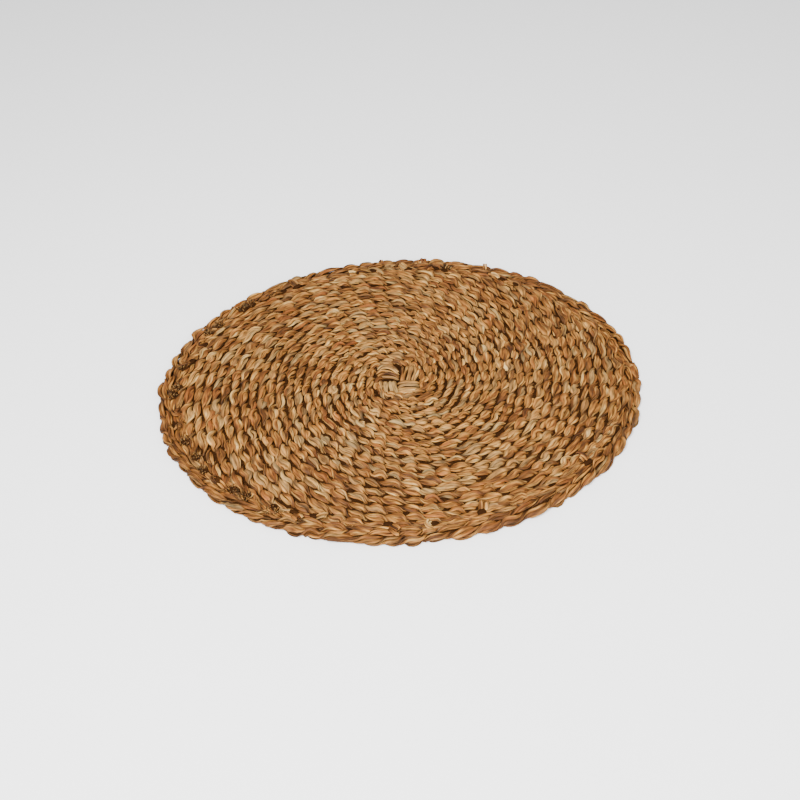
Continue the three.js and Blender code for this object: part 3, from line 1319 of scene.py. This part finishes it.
@dataclass(frozen=True)
class TipSizes:
    """Sizes of the trimmed tips, in millimetres and radians.

    A pair is the least and the most.

    Attributes:
        strip_thickness: Half of a strip's thickness.
        strip_foot: Share of its width where it comes up.
        strip_tone: Its tone when fresh, the change when worn, and the spread.
        strip_warmth: Its usual warmth, and the spread.
        strip_shade: Its shade when fresh, the change when worn, which is its own dark wear, and the
            painted shade that its foot adds.
        foot_reach: Share of its length that is the foot darkened with painted shade.
        strip_twist: Angle by which its stems turn from end to end.
        stem_tone: Spread of its stems' tones.
        most_short: One more than the most stations by which a stem is cut short.
        stub_length: Length of the dark stub of painted shadow below a tip.
        stub_shift: How far it lies inside the tip.
        stub_skew: How far it lies askew from end to end.
        stub_width: Half of its width.
        stub_height: Half of its thickness.
        stub_top: Height of its middle.
        stub_droop: How far its ends droop.
        stub_taper: Share of its width that its ends lose.
        cut_length: Length of a tip that is cut off square.
        cut_width: Half of its width.
        cut_heading: Usual angle off the border's way inward, and its spread.
        cut_bend: Bend from end to end.
        cut_inset: Nearest and farthest that it may lie inside the outline.
        cut_start: Height where it comes up.
        cut_rise: How far it rises from there.
        cut_across: Share of its length that counts across the border.
        cut_tilt: Tilt of its flat face to either side.
        curl_turn: Angle that a curled tip goes round.
        curl_radius: Radius of the curl.
        curl_stretch: Its reach along and across the border, in radii.
        curl_width: Half of the curled strip's width.
        curl_start: Height where it comes up.
        curl_rise: How far it rises from there.
        curl_wave: Angle of the sine by which it rises and sinks again.
        fray_fibres: Fewest fibres, and one more than the most.
        fray_radius: Radius of the brush.
        fray_stretch: Its reach along and across the border, in radii.
        fray_spread: Where a fibre's foot stands and how far it leans out, as shares of
            its place.
        fray_skew: Angle by which a fibre turns aside.
        fray_rise: How far a fibre rises.
        fray_width: Half of a fibre's width.
        fray_height: Half of its thickness.
        fray_taper: Share of its width that its end loses.
        fray_start: Height where the fibres come up.
        fray_tone: Palest tone of a fibre when fresh, and the change when worn.
        fray_warmth: Its warmth.
        fray_shade: Painted shade at a fibre's foot, down in the brush, and the change at its end.
        tall_lean: Angle by which a tall tip leans along the edge.
        tall_back: Share of its length by which it leans outward.
        tall_start: Height where it comes up.
        tall_rise: Slope of its rise at the foot, and the change.
        tall_face: Tilt of its flat face at the foot, and the change.
        tall_worn: How dark it is, 0 to 1.
    """

    strip_thickness: tuple[float, float] = (1.2, 1.7)
    strip_foot: float = 0.75
    strip_tone: tuple[float, float, float] = (0.52, -0.24, 0.12)
    strip_warmth: tuple[float, float] = (0.5, 0.12)
    strip_shade: tuple[float, float, float] = (0.05, 0.25, 0.4)
    foot_reach: float = 0.35
    strip_twist: float = 0.8
    stem_tone: float = 0.16
    most_short: int = 4
    stub_length: tuple[float, float] = (10, 15)
    stub_shift: tuple[float, float] = (0.0, 3.5)
    stub_skew: tuple[float, float] = (-3, 3)
    stub_width: tuple[float, float] = (2.2, 3.4)
    stub_height: float = 0.9
    stub_top: float = 7.6
    stub_droop: float = 3.0
    stub_taper: float = 0.6
    cut_length: tuple[float, float] = (10, 16)
    cut_width: tuple[float, float] = (3.0, 4.6)
    cut_heading: tuple[float, float] = (math.radians(10), math.radians(38))
    cut_bend: tuple[float, float] = (-0.5, 0.5)
    cut_inset: tuple[float, float] = (9, 25)
    cut_start: float = 5.4
    cut_rise: tuple[float, float] = (4.4, 5.8)
    cut_across: float = 0.8
    cut_tilt: tuple[float, float] = (-0.4, 0.4)
    curl_turn: tuple[float, float] = (2.6, 3.9)
    curl_radius: tuple[float, float] = (2.6, 4.0)
    curl_stretch: tuple[float, float] = (1.3, 0.8)
    curl_width: tuple[float, float] = (2.0, 2.8)
    curl_start: float = 6.4
    curl_rise: float = 2.8
    curl_wave: float = math.pi * 0.8
    fray_fibres: tuple[int, int] = (24, 34)
    fray_radius: float = 5.0
    fray_stretch: tuple[float, float] = (1.3, 0.9)
    fray_spread: tuple[float, float] = (0.7, 0.5)
    fray_skew: tuple[float, float] = (-0.6, 0.6)
    fray_rise: tuple[float, float] = (2.6, 5.0)
    fray_width: tuple[float, float] = (0.6, 1.2)
    fray_height: float = 0.45
    fray_taper: float = 0.4
    fray_start: float = 6.2
    fray_tone: tuple[float, float] = (0.85, -0.2)
    fray_warmth: tuple[float, float] = (0.1, 0.5)
    fray_shade: tuple[float, float] = (0.9, -0.6)
    tall_lean: tuple[float, float] = (-0.4, 0.4)
    tall_back: float = 0.62
    tall_start: float = 4.5
    tall_rise: tuple[float, float] = (0.75, -0.25)
    tall_face: tuple[float, float] = (2.4, -0.4)
    tall_worn: float = 0.35


@dataclass
class TrimmedTips:
    """The spokes' ends, which come up between the border's inner rows and are trimmed.

    Attributes:
        oval: The mat's outline.
        finish: Material of the tips.
        shadow_finish: Material of the stubs deep between them, which are painted shadow.
        rng: Seeded source of the unevenness.
        spokes: Number of spoke ends round the mat.
        sizes: Sizes of the tips.
        inset: Middle of the ring of tips, inside the outline.
        off_place: Least and most by which a tip lies inside that.
        off_even: How far it lies off its even place, in spokes.
        worn_arcs: First and last arc of the stretch where the tips are worn and dark, as
            shares of the whole outline.
        bare_arcs: The same for the stretch where few tips show.
        soft: Share of the outline over which a stretch fades.
        shown_worn: Chance of a tip outside the worn stretch, and what the stretch adds.
        shown_else: Chance of a tip where that gave none, outside the bare stretch.
        odds: Chance of each trim on a fresh tip, and its change on a worn one.
        fray_breadth: Width of the stub below a frayed tip, as a multiple of the usual.
        drift_length: Distance over which the stems' ridges change.
        parting: How a strip parts into stems.
        tall_tips: Tips that were left long and stand up over the back edge.
    """

    oval: Oval
    finish: bpy.types.Material
    shadow_finish: bpy.types.Material
    rng: np.random.Generator
    spokes: int
    sizes: TipSizes = TipSizes()
    inset: float = 14.2 * MM
    off_place: tuple[float, float] = (-2.0 * MM, 3.5 * MM)
    off_even: float = 0.35
    worn_arcs: tuple[float, float] = (0.33, 0.66)
    bare_arcs: tuple[float, float] = (0.86, 1.12)
    soft: float = 0.06
    shown_worn: tuple[float, float] = (0.25, 0.7)
    shown_else: float = 0.55
    odds: tuple[tuple[float, float], ...] = ((0.72, -0.4), (0.16, -0.04), (0.12, 0.44))
    fray_breadth: float = 1.5
    drift_length: float = 9 * MM
    parting: Parting = Parting(count=4)
    tall_tips: tuple[TallTip, ...] = (
        TallTip(0.17, 6, 9, 2.6),
        TallTip(0.202, 7, 6, 2.2),
        TallTip(0.222, 9, 12, 3.4),
        TallTip(0.227, 10, 11, 2.8),
        TallTip(0.26, 5, 7, 2.4),
    )

    def build(self) -> list[bpy.types.Object]:
        """Makes the tips and the stubs of painted shadow below them."""
        tips = StemMesh("trimmed_tips", self.rng, drift_length=self.drift_length)
        stubs = StemMesh("painted_shadow_stubs", self.rng, drift_length=self.drift_length)
        fresh, more = self.shown_worn
        for index in range(self.spokes):
            share = (index + 0.5 + self.rng.uniform(-self.off_even, self.off_even)) / self.spokes
            if self.rng.uniform() < fresh + more * self.within(share, self.worn_arcs):
                self.trimmed(tips, stubs, share)
            elif self.rng.uniform() < self.shown_else * (1 - self.within(share, self.bare_arcs)):
                self.trimmed(tips, stubs, share)
        for tip in self.tall_tips:
            self.standing(tips, tip)
        pairs = ((tips, self.finish), (stubs, self.shadow_finish))
        return [mesh.build(finish, Slot.BORDER, "plaited_border") for mesh, finish in pairs]

    def draw(self, limits: tuple[float, float]) -> float:
        """Random value between the least and the most."""
        return self.rng.uniform(*limits)

    def within(self, share: float, arcs: tuple[float, float]) -> float:
        """How far a share of the outline lies inside a stretch, 0 to 1, softly at its ends."""
        first, last = arcs
        inside = max(min(place - first, last - place) for place in (share % 1.0, share % 1.0 + 1))
        return float(ease(0.5 + inside / self.soft))

    def trimmed(self, mesh: StemMesh, stubs: StemMesh, share: float) -> None:
        """Adds one trimmed tip, cut, curled or frayed, and the stub of painted shadow below it.

        Args:
            mesh: Mesh that takes its stems.
            stubs: Mesh that takes the stub of painted shadow.
            share: Its place as a share of the outline.
        """
        worn = self.within(share, self.worn_arcs)
        odds = [fresh + change * worn for fresh, change in self.odds]
        trim = tuple(Trim)[int(self.rng.choice(len(odds), p=odds))]
        arc = share * self.oval.perimeter
        inset = self.inset + self.draw(self.off_place)
        self.stub(stubs, arc, inset, self.fray_breadth if trim is Trim.FRAY else 1.0)
        add = {Trim.CUT: self.cut_tip, Trim.CURL: self.curl, Trim.FRAY: self.fray}[trim]
        add(mesh, arc, inset, worn)

    def stub(self, mesh: StemMesh, arc: float, inset: float, breadth: float) -> None:
        """Adds a dark stub below a trimmed tip, a strand of painted shadow in the gap there.

        It lies along the edge, a little askew. With the reach from -1 to 1, its ends
        droop by the fourth power of it, and its width narrows by the square.

        Args:
            mesh: Mesh that takes it.
            arc: Its place along the outline.
            inset: Its place inside the outline.
            breadth: Its width as a multiple of the usual one.
        """
        size = self.sizes
        reach = np.linspace(-0.5, 0.5, 7)
        along = arc + self.draw(size.stub_length) * MM * reach
        inward = inset + self.draw(size.stub_shift) * MM + self.draw(size.stub_skew) * MM * reach
        height = (size.stub_top - size.stub_droop * (2 * reach) ** 4) * MM
        half_width = breadth * self.draw(size.stub_width) * MM
        # Painted shadow: a strand at full shade in the dark finish, where the gap below the tip lies
        # in shade.
        mesh.add(
            Route(
                middle=self.oval.place(along, inward, height),
                outward=facing(self.oval.away(along), UPWARD),
                half_width=half_width * (1 - size.stub_taper * (2 * reach) ** 2),
                half_height=size.stub_height * MM,
                tone=0.0,
                warmth=0.5,
                shade=1.0,
            )
        )

    def strip(
        self, mesh: StemMesh, middle: np.ndarray, outward: np.ndarray, half_width: float, worn: float
    ) -> None:
        """Adds a short strand of flat stems, each cut at its own length.

        Args:
            mesh: Mesh that takes the stems.
            middle: Middle of the strand, (n, 3).
            outward: Direction that its flat face looks, (n, 3).
            half_width: Half of its width.
            worn: How dark it is, 0 to 1.
        """
        size = self.sizes
        reach = np.linspace(0, 1, len(middle))
        tone, tone_worn, tone_spread = size.strip_tone
        warmth, warmth_spread = size.strip_warmth
        shade, shade_worn, shade_foot = size.strip_shade
        foot = ease((size.foot_reach - reach) / size.foot_reach)
        whole = Route(
            middle=middle,
            outward=outward,
            half_width=half_width * (size.strip_foot + (1 - size.strip_foot) * ease(reach * 3)),
            half_height=self.draw(size.strip_thickness) * MM,
            tone=tone + tone_worn * worn + tone_spread * self.rng.normal(),
            warmth=warmth + warmth_spread * self.rng.normal(),
            # Own dark of a worn tip, and painted shade at its foot.
            shade=shade + shade_worn * worn + shade_foot * foot,
        )
        twist = self.rng.uniform(0, FULL_TURN) + size.strip_twist * reach
        for stem in self.parting.stems(whole, self.rng, twist):
            stem.tone = stem.tone + size.stem_tone * self.rng.normal()
            mesh.add(stem.cut(0, len(middle) - int(self.rng.integers(0, size.most_short))))

    def cut_tip(self, mesh: StemMesh, arc: float, inset: float, worn: float) -> None:
        """Adds a flat tip that lies over the second row and is cut off square.

        It runs off at its heading, held inside the border, and rises by a sine.

        Args:
            mesh: Mesh that takes its stems.
            arc: Where it starts along the outline.
            inset: Where it starts inside the outline.
            worn: How dark it is, 0 to 1.
        """
        size = self.sizes
        reach = np.linspace(0, 1, 11)
        length = self.draw(size.cut_length) * MM
        heading = self.rng.normal(*size.cut_heading) + self.draw(size.cut_bend) * reach
        along = arc + length * reach * np.cos(heading)
        inward = inset + 2 * MM - size.cut_across * length * reach * np.sin(heading)
        nearest, farthest = size.cut_inset
        inward = np.clip(inward, nearest * MM, farthest * MM)
        height = (size.cut_start + self.draw(size.cut_rise) * np.sin(2 * reach)) * MM
        self.strip(
            mesh,
            self.oval.place(along, inward, height),
            facing(self.oval.away(along), UPWARD + self.draw(size.cut_tilt)),
            self.draw(size.cut_width) * MM,
            worn,
        )

    def curl(self, mesh: StemMesh, arc: float, inset: float, worn: float) -> None:
        """Adds a tip that curls round itself and leaves a dark hole in the middle.

        It runs round an ellipse, and rises and sinks again by a sine.

        Args:
            mesh: Mesh that takes its stems.
            arc: Its place along the outline.
            inset: Its place inside the outline.
            worn: How dark it is, 0 to 1.
        """
        size = self.sizes
        turn = np.linspace(0, self.draw(size.curl_turn), 16)
        radius = self.draw(size.curl_radius) * MM
        start = self.rng.uniform(0, FULL_TURN)
        long, broad = size.curl_stretch
        along = arc + long * radius * np.cos(start + turn)
        inward = inset - broad * radius * np.sin(start + turn)
        height = (size.curl_start + size.curl_rise * np.sin(turn / turn[-1] * size.curl_wave)) * MM
        self.strip(
            mesh,
            self.oval.place(along, inward, height),
            facing(self.oval.away(along), UPWARD),
            self.draw(size.curl_width) * MM,
            worn,
        )

    def fray(self, mesh: StemMesh, arc: float, inset: float, worn: float) -> None:
        """Adds a tip worn to a round brush of pale and dark fibre ends.

        A fibre's place is the radius times the root of a random share, so that they stand
        evenly, and each one leans out from its place and rises evenly.

        Args:
            mesh: Mesh that takes its fibres.
            arc: Its place along the outline.
            inset: Its place inside the outline.
            worn: How dark it is, 0 to 1.
        """
        size = self.sizes
        reach = np.linspace(0, 1, 5)
        long, broad = size.fray_stretch
        foot, lean = size.fray_spread
        palest, change = size.fray_tone
        shade, shade_end = size.fray_shade
        for _ in range(int(self.rng.integers(*size.fray_fibres))):
            heading = self.rng.uniform(0, FULL_TURN)
            spread = size.fray_radius * MM * math.sqrt(self.rng.uniform())
            out = spread * (foot + lean * reach)
            along = arc + long * out * np.cos(heading)
            inward = inset + broad * out * np.sin(heading + self.draw(size.fray_skew) * reach)
            height = (size.fray_start + self.draw(size.fray_rise) * reach) * MM
            mesh.add(
                Route(
                    middle=self.oval.place(along, inward, height),
                    outward=facing(self.oval.away(along), self.rng.uniform(0, math.pi)),
                    half_width=self.draw(size.fray_width) * MM * (1 - size.fray_taper * reach),
                    half_height=size.fray_height * MM,
                    tone=self.rng.uniform(0.0, palest + change * worn),
                    warmth=self.draw(size.fray_warmth),
                    # Painted shade at the fibre's foot, less towards its end.
                    shade=shade + shade_end * reach,
                )
            )

    def standing(self, mesh: StemMesh, tip: TallTip) -> None:
        """Adds a tip that was left long.

        It leans out evenly, and rises by the slope times its reach plus the change times
        its reach squared.

        Args:
            mesh: Mesh that takes its stems.
            tip: Its place and size.
        """
        size = self.sizes
        reach = np.linspace(0, 1, 10)
        length = tip.length * MM
        slope, bend = size.tall_rise
        tilt, turn = size.tall_face
        along = tip.share * self.oval.perimeter + length * reach * math.sin(self.draw(size.tall_lean))
        inward = tip.inset * MM - size.tall_back * length * reach
        height = size.tall_start * MM + length * (slope * reach + bend * reach**2)
        self.strip(
            mesh,
            self.oval.place(along, inward, height),
            facing(self.oval.away(along), tilt + turn * reach),
            tip.half_width * MM,
            size.tall_worn,
        )


@dataclass(frozen=True)
class Bundle:
    """One bundle of stems at the centre.

    Attributes:
        stems: Number of its stems.
        tone: Their usual tone.
        warmth: Their usual warmth.
        lean: Angle by which they lie askew on top, in degrees.
        bow: How far the outermost stem is bowed outward on top, in millimetres.
        shift: How far the bundle lies off its place, away from the middle, the same.
    """

    stems: int
    tone: float
    warmth: float
    lean: float
    bow: float
    shift: float


@dataclass
class Crossing:
    """The four bundles of spokes that cross at the centre.

    Bundle 1 runs along X on the +Y side. It lies on top where x is negative and dips
    through the middle to pass below the next one. Each other bundle is the same, a
    quarter turn on.

    Attributes:
        finish: Material of the stems.
        rng: Seeded source of the unevenness.
        radius: Radius of the crossing.
        thickness: Thickness over both layers.
        gap: Half of the square hole between the bundles.
        hidden: Part of the radius that lies under the first round.
        half_height: Half of a stem's thickness.
        dip: Distance over which a bundle goes from the top layer to the lower one.
        lap: Half thicknesses of a stem from the crossing's top to the top layer's middle.
        uneven_top: Least and most by which a stem stands off the top layer.
        crown: How far a bundle's middle stems stand up over its outer ones on top.
        crown_length: Distance over which they do.
        dive: Distance over which the stems' ends go under the first round.
        dive_start: Distance inside the crossing's radius where that starts.
        dive_depth: How far below the middle of the thickness they end.
        dive_shade: Painted shade there, where the stems go under the first round, and the distance
            inside the radius where it starts.
        bow_rest: Square of the place where a bowed stem crosses its straight line, as a
            share of half the radius.
        overrun: Length of a stem as a multiple of the crossing's own.
        stations: Stations along a stem.
        stem_height: Least and most share of the thickness that a stem has.
        stem_cast: Spread of the stems' tone and warmth.
        side: Departure of a stem across the bundle.
        uneven_width: Departure of its half width, in widths.
        tone: Departure of its tone.
        warmth: Departure of its warmth.
        bundles: The four bundles.
    """

    finish: bpy.types.Material
    rng: np.random.Generator
    radius: float
    thickness: float
    gap: float = 0.8 * MM
    hidden: float = 3.5 * MM
    half_height: float = 1.6 * MM
    dip: float = 5 * MM
    lap: float = 1.6
    uneven_top: tuple[float, float] = (-0.8 * MM, 0.5 * MM)
    crown: float = 0.6 * MM
    crown_length: float = 8 * MM
    dive: float = 9 * MM
    dive_start: float = 8 * MM
    dive_depth: float = 1.5 * MM
    dive_shade: tuple[float, float] = (0.7, 6 * MM)
    bow_rest: float = 0.4
    overrun: float = 1.12
    stations: int = 44
    stem_height: tuple[float, float] = (0.85, 1.1)
    stem_cast: tuple[float, float] = (0.15, 0.1)
    side: Stray = Stray(1.0 * MM, 9 * MM)
    uneven_width: Stray = Stray(0.1, 9 * MM)
    tone: Stray = Stray(0.1, 9 * MM)
    warmth: Stray = Stray(0.08, 9 * MM)
    bundles: tuple[Bundle, ...] = (
        Bundle(6, 0.44, 0.32, -9.0, 6.5, 2.5),
        Bundle(4, 0.4, 0.2, 4.0, 1.0, 0.0),
        Bundle(4, 0.42, 0.48, 3.0, 1.0, 0.0),
        Bundle(6, 0.5, 0.36, -10.0, 3.0, 2.0),
    )

    def build(self) -> list[bpy.types.Object]:
        """Makes one piece for each bundle."""
        made = []
        for number, bundle in enumerate(self.bundles):
            mesh = StemMesh(
                f"crossing_stems_{number + 1}", self.rng, outward_steps=7, ridges=4.0, ridge_depth=0.16
            )
            for index in range(bundle.stems):
                mesh.add(self.stem(number, bundle, (index + 0.5) / bundle.stems))
            made.append(mesh.build(self.finish, Slot.STEMS, f"spoke_bundle_{number + 1}"))
        return made

    def stem(self, number: int, bundle: Bundle, place: float) -> Route:
        """Works out one stem of a bundle.

        It lies straight but for the lean and the bow on top. Its height eases from the
        top layer to the lower one over the dip, is crowned on top by one less the square
        of its distance from the bundle's middle, and eases down at both ends.

        Args:
            number: Number of the bundle, from 0.
            bundle: The bundle.
            place: Where the stem lies in it, 0 at the middle of the mat to 1.

        Returns:
            The stem's route.
        """
        bow = bundle.bow * MM
        across = self.radius - self.hidden - self.gap
        width = across / bundle.stems
        x = np.linspace(-self.radius, self.radius, self.stations) * self.overrun
        y = self.gap + bundle.shift * MM + across * place + self.side.along(self.rng, x)
        half = self.radius / 2
        y = y + math.tan(math.radians(bundle.lean)) * np.clip(x + half, -half, half)
        y = y + bow * place * (self.bow_rest - np.clip((x + half) / half, -1, 1) ** 2)
        crown = (self.crown + bow / 4) * (1 - (place * 2 - 1) ** 2)
        top = self.thickness - self.half_height * self.lap + self.rng.uniform(*self.uneven_top)
        low = self.half_height
        height = low + (top - low) * ease(0.5 - x / self.dip)
        height = height + crown * ease(-x / self.crown_length)
        outside = np.abs(x) - self.radius
        dive = ease((outside + self.dive_start) / self.dive)
        height = height * (1 - dive) + (self.thickness / 2 - self.dive_depth) * dive
        turn = number * FULL_TURN / 4
        cos, sin = math.cos(turn), math.sin(turn)
        side = place - 0.5
        tone_cast, warmth_cast = self.stem_cast
        dark, fade = self.dive_shade
        return Route(
            middle=np.stack([x * cos - y * sin, x * sin + y * cos, height], axis=-1),
            outward=np.tile((-sin * side, cos * side, 1.0), (self.stations, 1)),
            half_width=width * (0.5 + self.uneven_width.along(self.rng, x)),
            half_height=self.half_height * self.rng.uniform(*self.stem_height),
            tone=bundle.tone + tone_cast * self.rng.normal() + self.tone.along(self.rng, x),
            warmth=bundle.warmth + warmth_cast * self.rng.normal() + self.warmth.along(self.rng, x),
            # Painted shade where the stems go under the first round.
            shade=dark * ease((outside + fade) / fade),
        )


@dataclass
class SpokeLayer:
    """The spokes' own layer, in the middle of the mat's thickness.

    A closed sheet from under the crossing to under the border, on a grid of angle and of
    the share of the way from one to the other. Each face stands off the mid height by
    thickness times (low + (1 - low) times cos squared of half a turn for each spoke
    passed), so every spoke is a ridge under the stitch that crosses it.

    Attributes:
        plan: Where the spokes stand.
        oval: The mat's outline.
        finish: Material of the layer, the dark, nearly matt finish of the painted shadow.
        rng: Seeded source, which the mesh asks for.
        middle: Height of the layer's middle.
        inner: Radius where the layer starts, under the crossing.
        inset: Distance inside the outline where it ends, under the border.
        half_height: Half of a spoke's thickness.
        low: Share of that left between two spokes.
        rings: Grid steps along the radius.
        columns: Grid steps round the mat.
        tint: Tone, warmth and shade of the layer, at full painted shade, so that it shows dark brown
            in the gaps between the stitches.
    """

    plan: SpokePlan
    oval: Oval
    finish: bpy.types.Material
    rng: np.random.Generator
    middle: float
    inner: float = 0.5 * MM
    inset: float = 4 * MM
    half_height: float = 1.2 * MM
    low: float = 0.4
    rings: int = 40
    columns: int = 400
    # The layer stands for the real spokes and is painted at full shade, as it only shows in the shaded
    # gaps.
    tint: tuple[float, float, float] = (0.1, 0.5, 1.0)

    def build(self) -> bpy.types.Object:
        """Makes the layer as one sheet, closed over its top, rim, underside and hole."""
        angle = np.linspace(0, FULL_TURN, self.columns, endpoint=False)
        length, width = self.oval.half_length - self.inset, self.oval.half_width - self.inset
        outer = 1 / np.hypot(np.cos(angle) / length, np.sin(angle) / width)
        share = np.linspace(0, 1, self.rings)[:, None]
        radius = (self.inner + (outer[None, :] - self.inner) * share).ravel()
        around = np.tile(angle, self.rings)
        passed = self.plan.passed(self.plan.nearest_turn(radius, around))
        ridge = self.low + (1 - self.low) * np.cos(math.pi * passed) ** 2
        shape = (self.rings, self.columns, 3)
        top = polar(radius, around, self.middle + self.half_height * ridge).reshape(shape)
        under = polar(radius, around, self.middle - self.half_height * ridge).reshape(shape)
        sheet = np.concatenate([top, under[::-1]], axis=0)
        rows = len(sheet)
        number = np.arange(rows * self.columns).reshape(rows, self.columns)
        beside = np.roll(number, -1, axis=1)
        onward = np.roll(number, -1, axis=0)
        opposite = np.roll(beside, -1, axis=0)
        flow = np.stack([around * self.oval.half_width, radius, 0 * radius], axis=-1).reshape(shape)
        mesh = StemMesh("spoke_layer", self.rng)
        mesh.points.append(sheet.reshape(-1, 3))
        mesh.quads.append(np.stack([number, onward, opposite, beside], axis=-1).reshape(-1, 4))
        mesh.triangles.append(np.empty((0, 3), int))
        mesh.fibre.append(np.concatenate([flow, flow[::-1]], axis=0).reshape(-1, 3))
        mesh.tint.append(np.full((rows * self.columns, 3), self.tint))
        return mesh.build(self.finish, Slot.STEMS)


@dataclass(frozen=True)
class Lamp:
    """A square lamp that looks at the mat.

    Attributes:
        name: Its name.
        place: Where it hangs.
        side: Its side.
        power: Its power in watts.
    """

    name: str
    place: tuple[float, float, float]
    side: float
    power: float


@dataclass
class Studio:
    """Pale floor, soft lights and the camera at the photo's angle.

    Attributes:
        azimuth: Degrees round the mat from looking along +Y.
        elevation: Degrees above the horizon.
        distance: From the aim to the camera.
        roll: Degrees that the camera leans.
        aim: Point of the floor at the middle of the picture.
        focal_pixels: Focal length in pixels of the 800 pixel picture.
        sensor: Width of the sensor in millimetres.
        floor_side: Side of the floor.
        sky: Strength of the even light from all round.
        lamps: The lamps.
    """

    azimuth: float = 0.31
    elevation: float = 47.54
    distance: float = 0.789
    roll: float = -3.35
    aim: tuple[float, float, float] = (0.0006, -0.0197, 0.0)
    focal_pixels: float = 848.0
    sensor: float = 36.0
    floor_side: float = 12.0
    sky: float = 0.9
    lamps: tuple[Lamp, ...] = (
        Lamp("key", (-0.28, -0.82, 1.3), 0.5, 59.0),
        Lamp("fill", (0.4, -1.2, 1.0), 1.2, 24.0),
    )

    def build(self) -> None:
        """Makes the floor, the lights and the camera."""
        self.floor()
        self.lights()
        self.camera()

    def floor(self) -> None:
        """Makes the floor: one large pale plane, matt as seamless paper."""
        half = self.floor_side / 2
        mesh = bpy.data.meshes.new("floor")
        corners = [(-half, -half, 0), (half, -half, 0), (half, half, 0), (-half, half, 0)]
        mesh.from_pydata(corners, [], [(0, 1, 2, 3)])
        paper = bpy.data.materials.new("seamless_paper")
        paper.use_nodes = True
        shader = paper.node_tree.nodes["Principled BSDF"]
        shader.inputs["Base Color"].default_value = linear_colour("#fafafa")
        shader.inputs["Roughness"].default_value = 0.9
        mesh.materials.append(paper)
        floor = bpy.data.objects.new("floor", mesh)
        bpy.context.scene.collection.objects.link(floor)

    def lights(self) -> None:
        """Makes an even sky and the lamps."""
        world = bpy.data.worlds.new("soft_sky")
        bpy.context.scene.world = world
        world.use_nodes = True
        background = world.node_tree.nodes["Background"]
        background.inputs["Color"].default_value = linear_colour("#ffffff")
        background.inputs["Strength"].default_value = self.sky
        for lamp in self.lamps:
            light = bpy.data.lights.new(lamp.name, "AREA")
            light.shape = "SQUARE"
            light.size = lamp.side
            light.energy = lamp.power
            shown = bpy.data.objects.new(lamp.name, light)
            shown.location = lamp.place
            shown.rotation_euler = Vector(lamp.place).to_track_quat("Z", "Y").to_euler()
            bpy.context.scene.collection.objects.link(shown)

    def camera(self) -> None:
        """Makes the camera: distance from the aim, turned by azimuth, elevation and roll."""
        turn, rise = math.radians(self.azimuth), math.radians(self.elevation)
        back = Vector(
            (math.sin(turn) * math.cos(rise), -math.cos(turn) * math.cos(rise), math.sin(rise))
        )
        data = bpy.data.cameras.new("camera")
        data.sensor_width = self.sensor
        data.lens = self.focal_pixels * self.sensor / PHOTO_SIDE
        camera = bpy.data.objects.new("camera", data)
        camera.rotation_mode = "QUATERNION"
        level = (-back).to_track_quat("-Z", "Y")
        lean = Matrix.Rotation(math.radians(self.roll), 4, "Z").to_quaternion()
        camera.rotation_quaternion = level @ lean
        camera.location = Vector(self.aim) + back * self.distance
        bpy.context.scene.collection.objects.link(camera)
        bpy.context.scene.camera = camera


STEM_TONES = (
    (0.0, "#482a10"),
    (0.28, "#6a4019"),
    (0.5, "#885a27"),
    (0.72, "#9c7139"),
    (1.0, "#b3925b"),
)
# Colour of the painted shadow on the spoke layer and the stubs below the tips.
SHADOW_COLOUR = "#221105"
PITCH = 8.4 * MM
SPARE_ROUNDS = 1.2
FIRST_ROUND_INSET = 2.5 * MM
START_ANGLE = math.radians(160)
SQUARE_REACH = 2.5
FIELD_UNDER_BORDER = 13 * MM
BORDER_SPOKES = 62
BORDER_TONE = 0.38


def main() -> None:
    """Builds the mat from the centre out, then the studio."""
    logging.basicConfig(level=logging.INFO, format="%(name)s: %(message)s")
    rng = np.random.default_rng(SEED)
    weft = StemFinish("dried_stem_weft", STEM_TONES).material()
    rim = StemFinish("dried_stem_border", STEM_TONES).material()
    spokes = StemFinish("dried_stem_spokes", STEM_TONES).material()
    # Dark, nearly matt finish of the painted shadow for the spoke layer and the stubs.
    shadow_finish = StemFinish(
        "painted_shadow_layer", STEM_TONES, shade_colour=SHADOW_COLOUR, roughness=0.8, specular=0.04
    ).material()

    field_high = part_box("woven_field")[1]
    border_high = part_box("plaited_border")[1]
    crossing_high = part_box("spoke_bundle_1")[1]
    oval = Oval(border_high.x, border_high.y)
    border_width = border_high.x - field_high.x

    plan = SpokePlan(crossing_high.x - FIRST_ROUND_INSET, START_ANGLE, PITCH, rng)
    woven = TwinedField(
        plan,
        HandOfMaker(square_radius=SQUARE_REACH * crossing_high.x),
        oval,
        Twining(rng),
        weft,
        rng,
        thickness=field_high.z,
        edge=border_width - FIELD_UNDER_BORDER,
    )
    pieces = woven.build((field_high.x + SPARE_ROUNDS * PITCH - plan.start_radius) / PITCH)
    pieces.append(Border(oval, Twining(rng, tone=BORDER_TONE), rim, rng, BORDER_SPOKES).build())
    pieces += TrimmedTips(oval, rim, shadow_finish, rng, BORDER_SPOKES).build()
    pieces += Crossing(spokes, rng, crossing_high.x, thickness=crossing_high.z).build()
    layer = SpokeLayer(plan, oval, shadow_finish, rng, middle=field_high.z / 2).build()
    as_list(pieces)
    Studio().build()


if __name__ == "__main__":
    main()
